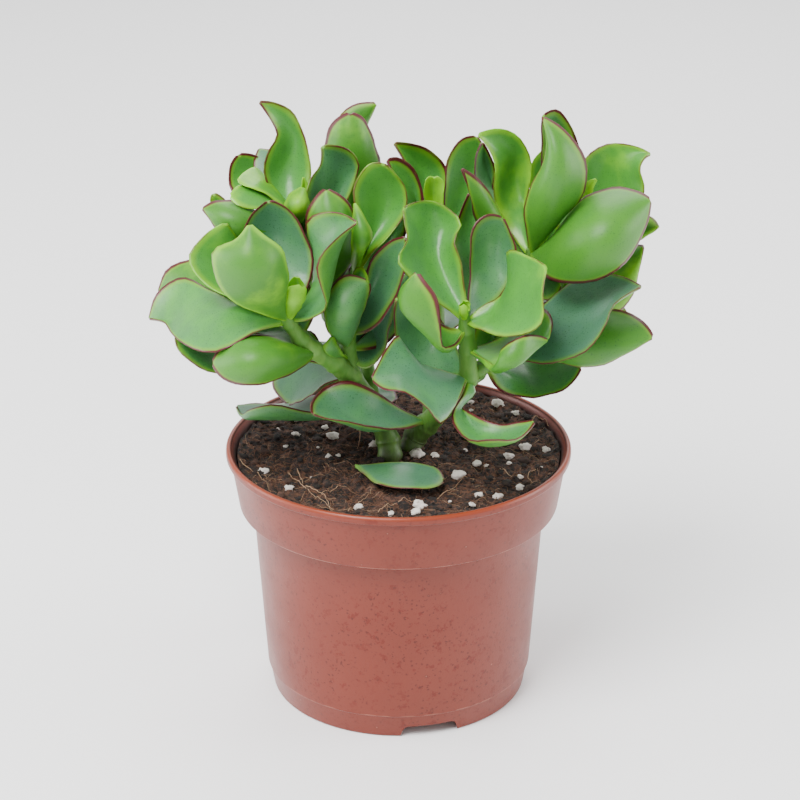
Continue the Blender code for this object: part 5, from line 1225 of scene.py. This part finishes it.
class JADE_OT_add_soil(bpy.types.Operator):
    """Add the potting mix: its crumbled body and the loose crumbs on it"""

    bl_idname = "jade.add_soil"
    bl_label = "Add soil"

    def execute(self, context):
        settings = context.scene.jade_soil
        wall = context.scene.jade_pot.wall / MM
        floor = FLOOR_HEIGHT + FLOOR_THICKNESS + 0.35
        step = COLLAR_FOOT_HEIGHT + 0.6 * wall
        profile = [(0.0, SOIL_LEVEL)]
        profile += [(radius, SOIL_LEVEL) for radius in np.linspace(0.6, 56.0, 72)]
        profile += [(wall_radius(80, wall) - 0.25, 79.0), (wall_radius(75, wall) - 0.3, 75.0)]
        profile += [(wall_radius(step + 1.3, wall) - 0.3, step + 1.6), (wall_radius(step, wall) - 0.4, step + 0.3)]
        profile += [(wall_radius(12, wall) - 0.4, 12.0), (wall_radius(floor, wall) - 1.7, floor), (0.0, floor)]
        mesh = spun(profile, 220)
        for vert in mesh.verts:
            if vert.co.z > (SOIL_LEVEL - 0.5) * MM:
                vert.co.z = crumbled_height(vert.co.x / MM, vert.co.y / MM) * MM
        dark, light = settings.dark_colour, settings.light_colour
        finish_piece(mesh, "soil_fine", soil_material("potting mix", dark, light), ("soil",))
        finish_piece(self.crumbs(settings), "soil_crumbs", soil_material("soil crumb", dark, light, "shade"))
        return {"FINISHED"}

    def crumbs(self, settings):
        mesh = layered_mesh("shade")
        draw = random.Random(21)
        for number in range(settings.crumbs):
            large = number % 7 == 0
            x, y = drawn_place(draw, 55.4)
            radius = draw.uniform(0.8, 1.7) if large else draw.uniform(0.3, 0.8)
            crumb = layered_mesh("shade")
            shade = crumb.verts.layers.float["shade"]
            lump = bmesh.ops.create_icosphere(crumb, subdivisions=2 if large else 1, radius=radius)["verts"]
            stretch = (draw.uniform(0.7, 1.3), draw.uniform(0.7, 1.3), draw.uniform(0.5, 0.9))
            top = crumbled_height(x, y) + radius * draw.uniform(-0.35, 0.15)
            tone = draw.random() ** 2
            for vert in lump:
                bulge = 1 + 0.55 * noise.noise(vert.co * 1.7 / radius + Vector((number, 0, 0)))
                vert.co = Vector([v * s * bulge for v, s in zip(vert.co, stretch)])
                vert.co = (vert.co + Vector((x, y, top))) * MM
                vert[shade] = tone
            gather(mesh, crumb)
        return mesh


def drawn_place(draw, most):
    """A random place on the soil, in mm, evenly spread."""
    reach = most * math.sqrt(draw.random())
    turn = draw.uniform(0, 2 * math.pi)
    return reach * math.cos(turn), reach * math.sin(turn)


class JADE_OT_add_grains(bpy.types.Operator):
    """Add the white puffed grains that lie in the soil"""

    bl_idname = "jade.add_grains"
    bl_label = "Add white grains"

    def execute(self, context):
        settings = context.scene.jade_soil
        draw = random.Random(5)
        spots = []
        for across, down, radius in GRAINS:
            x, y, _ = seen_at_height(across, down, soil_height)
            inward = min(1.0, SOIL_REACH / math.hypot(x, y))
            spots.append((x * inward, y * inward, radius))
        for _ in range(14):
            turn = draw.uniform(0.6, math.pi - 0.6)
            reach = draw.uniform(14, 50)
            spots.append((reach * math.cos(turn), reach * math.sin(turn), draw.uniform(0.7, 1.7)))
        mesh = bmesh.new()
        for number, (x, y, radius) in enumerate(spots):
            grain = bmesh.new()
            lump = bmesh.ops.create_icosphere(grain, subdivisions=3, radius=0.82 * radius)["verts"]
            turn = draw.uniform(0, math.pi)
            for vert in lump:
                rough = noise.fractal(vert.co * 1.2 / radius + Vector((0, number, 0)), 0.7, 2.0, 3)
                spot = vert.co * (1 + 0.55 * rough)
                u = spot.x * math.cos(turn) - spot.y * math.sin(turn)
                w = spot.x * math.sin(turn) + spot.y * math.cos(turn)
                top = soil_height(x, y) + 0.35 * radius
                vert.co = Vector((x + 1.1 * u, y + 0.85 * w, top + 0.8 * spot.z)) * MM
            gather(mesh, grain)
        material = grain_material(settings.grain_colour, settings.light_colour)
        finish_piece(mesh, "white_grains", material)
        return {"FINISHED"}


class JADE_OT_add_fibres(bpy.types.Operator):
    """Add the coir fibres and the pale roots in the soil"""

    bl_idname = "jade.add_fibres"
    bl_label = "Add fibres"

    def execute(self, context):
        settings = context.scene.jade_soil
        draw = random.Random(8)
        curve = bpy.data.curves.new("soil_fibres", "CURVE")
        curve.dimensions = "3D"
        curve.bevel_depth = MM
        curve.bevel_resolution = 0
        dark = [value * 0.35 for value in settings.fibre_colour[:3]] + [1.0]
        curve.materials.append(fibre_material("coir fibre", dark, settings.fibre_colour))
        curve.materials.append(fibre_material("pale root", settings.fibre_colour, settings.root_colour))
        for number in range(settings.fibres):
            pale = number % 9 == 0
            x, y = drawn_place(draw, 54.5)
            heading = draw.uniform(0, 2 * math.pi)
            length = draw.uniform(2.5, 12)
            bend = draw.uniform(-0.16, 0.16)
            lift = draw.uniform(0.4, 1.1)
            places = []
            for step in range(7):
                if math.hypot(x, y) > 55.6:
                    break
                arch = lift * math.sin(math.pi * step / 6)
                places.append(np.array([x, y, crumbled_height(x, y) - 0.3 + arch]))
                heading += bend + draw.uniform(-0.15, 0.15)
                x += length / 6 * math.cos(heading)
                y += length / 6 * math.sin(heading)
            if len(places) > 3:
                width = draw.uniform(0.03, 0.07) * (1.2 if pale else 1.0)
                add_spline(curve, places, np.linspace(width, width * 0.5, len(places)), 1 if pale else 0)
        for points in ROOTS:
            places = [seen_at_height(across, down, crumbled_height) for across, down in points]
            line = places_along(places, np.linspace(0, 1, 24))
            line[:, 2] = [crumbled_height(x, y) + 0.6 + 0.3 * math.sin(0.9 * x) for x, y, _ in line]
            add_spline(curve, line, np.linspace(0.15, 0.08, len(line)), 1)
        fibres = bpy.data.objects.new("soil_fibres", curve)
        context.scene.collection.objects.link(fibres)
        attach(fibres)
        return {"FINISHED"}


class JADE_OT_set_stage(bpy.types.Operator):
    """Set the pale floor, the soft lights and the camera"""

    bl_idname = "jade.set_stage"
    bl_label = "Set stage"

    def execute(self, context):
        settings = context.scene.jade_stage
        mesh = bmesh.new()
        bmesh.ops.create_grid(mesh, x_segments=1, y_segments=1, size=settings.floor_size / 2)
        data = bpy.data.meshes.new("floor")
        mesh.to_mesh(data)
        mesh.free()
        shades = Shades("pale floor")
        shades.steady(Base_Color=settings.floor_colour, Roughness=0.9)
        data.materials.append(shades.material)
        floor = bpy.data.objects.new("floor", data)
        context.scene.collection.objects.link(floor)
        world = bpy.data.worlds.new("white surroundings")
        world.use_nodes = True
        world.node_tree.nodes["Background"].inputs["Color"].default_value = (1, 1, 1, 1)
        world.node_tree.nodes["Background"].inputs["Strength"].default_value = settings.sky
        context.scene.world = world
        target = Vector((0, 0, 0.12))
        self.light("key", (-0.4, -0.6, 1.1), target, 0.7, settings.key_power)
        self.light("left side", (-0.95, 0.05, 0.3), target, 0.6, settings.fill_power)
        self.light("right side", (0.95, 0.05, 0.3), target, 0.6, settings.fill_power)
        self.light("back", (0.1, 0.8, 0.9), target, 0.8, settings.fill_power)
        camera = bpy.data.cameras.new("camera")
        camera.sensor_width = SENSOR_WIDTH
        camera.lens = SENSOR_WIDTH * FOCAL_PIXELS / 800
        camera.clip_start = 0.05
        stand = bpy.data.objects.new("camera", camera)
        stand.location = CAMERA_PLACE
        stand.rotation_euler = (math.pi / 2 - VIEW_TILT, 0, 0)
        context.scene.collection.objects.link(stand)
        context.scene.camera = stand
        return {"FINISHED"}

    def light(self, name, place, target, size, power):
        lamp = bpy.data.lights.new(name, "AREA")
        lamp.shape = "DISK"
        lamp.size = size
        lamp.energy = power
        stand = bpy.data.objects.new(name, lamp)
        stand.location = place
        stand.rotation_euler = (target - Vector(place)).to_track_quat("-Z", "Y").to_euler()
        bpy.context.scene.collection.objects.link(stand)


class JADE_PT_sidebar(bpy.types.Panel):
    """Lists the plant's settings and the steps that make it"""

    bl_label = "Potted silver dollar jade"
    bl_idname = "JADE_PT_sidebar"
    bl_space_type = "VIEW_3D"
    bl_region_type = "UI"
    bl_category = "Jade"

    def draw(self, context):
        for key in SETTINGS:
            box = self.layout.box()
            group = getattr(context.scene, key)
            for name in group.__annotations__:
                box.prop(group, name)
        for operator in OPERATORS:
            self.layout.operator(operator.bl_idname)


SETTINGS = {
    "jade_pot": JadePotSettings,
    "jade_leaf": JadeLeafSettings,
    "jade_soil": JadeSoilSettings,
    "jade_stage": JadeStageSettings,
}
OPERATORS = (
    JADE_OT_add_pot,
    JADE_OT_add_soil,
    JADE_OT_add_grains,
    JADE_OT_add_fibres,
    JADE_OT_add_stems,
    JADE_OT_add_leaves,
    JADE_OT_add_fallen_leaf,
    JADE_OT_set_stage,
)


def register():
    for kind in (*SETTINGS.values(), *OPERATORS, JADE_PT_sidebar):
        bpy.utils.register_class(kind)
    for key, kind in SETTINGS.items():
        setattr(bpy.types.Scene, key, bpy.props.PointerProperty(type=kind))


def unregister():
    for key in SETTINGS:
        delattr(bpy.types.Scene, key)
    for kind in reversed((*SETTINGS.values(), *OPERATORS, JADE_PT_sidebar)):
        bpy.utils.unregister_class(kind)


def main():
    register()
    bpy.ops.jade.add_pot()
    bpy.ops.jade.add_soil()
    bpy.ops.jade.add_grains()
    bpy.ops.jade.add_fibres()
    bpy.ops.jade.add_stems()
    bpy.ops.jade.add_leaves()
    bpy.ops.jade.add_fallen_leaf()
    bpy.ops.jade.set_stage()
    bpy.context.view_layer.update()


if __name__ == "__main__":
    main()
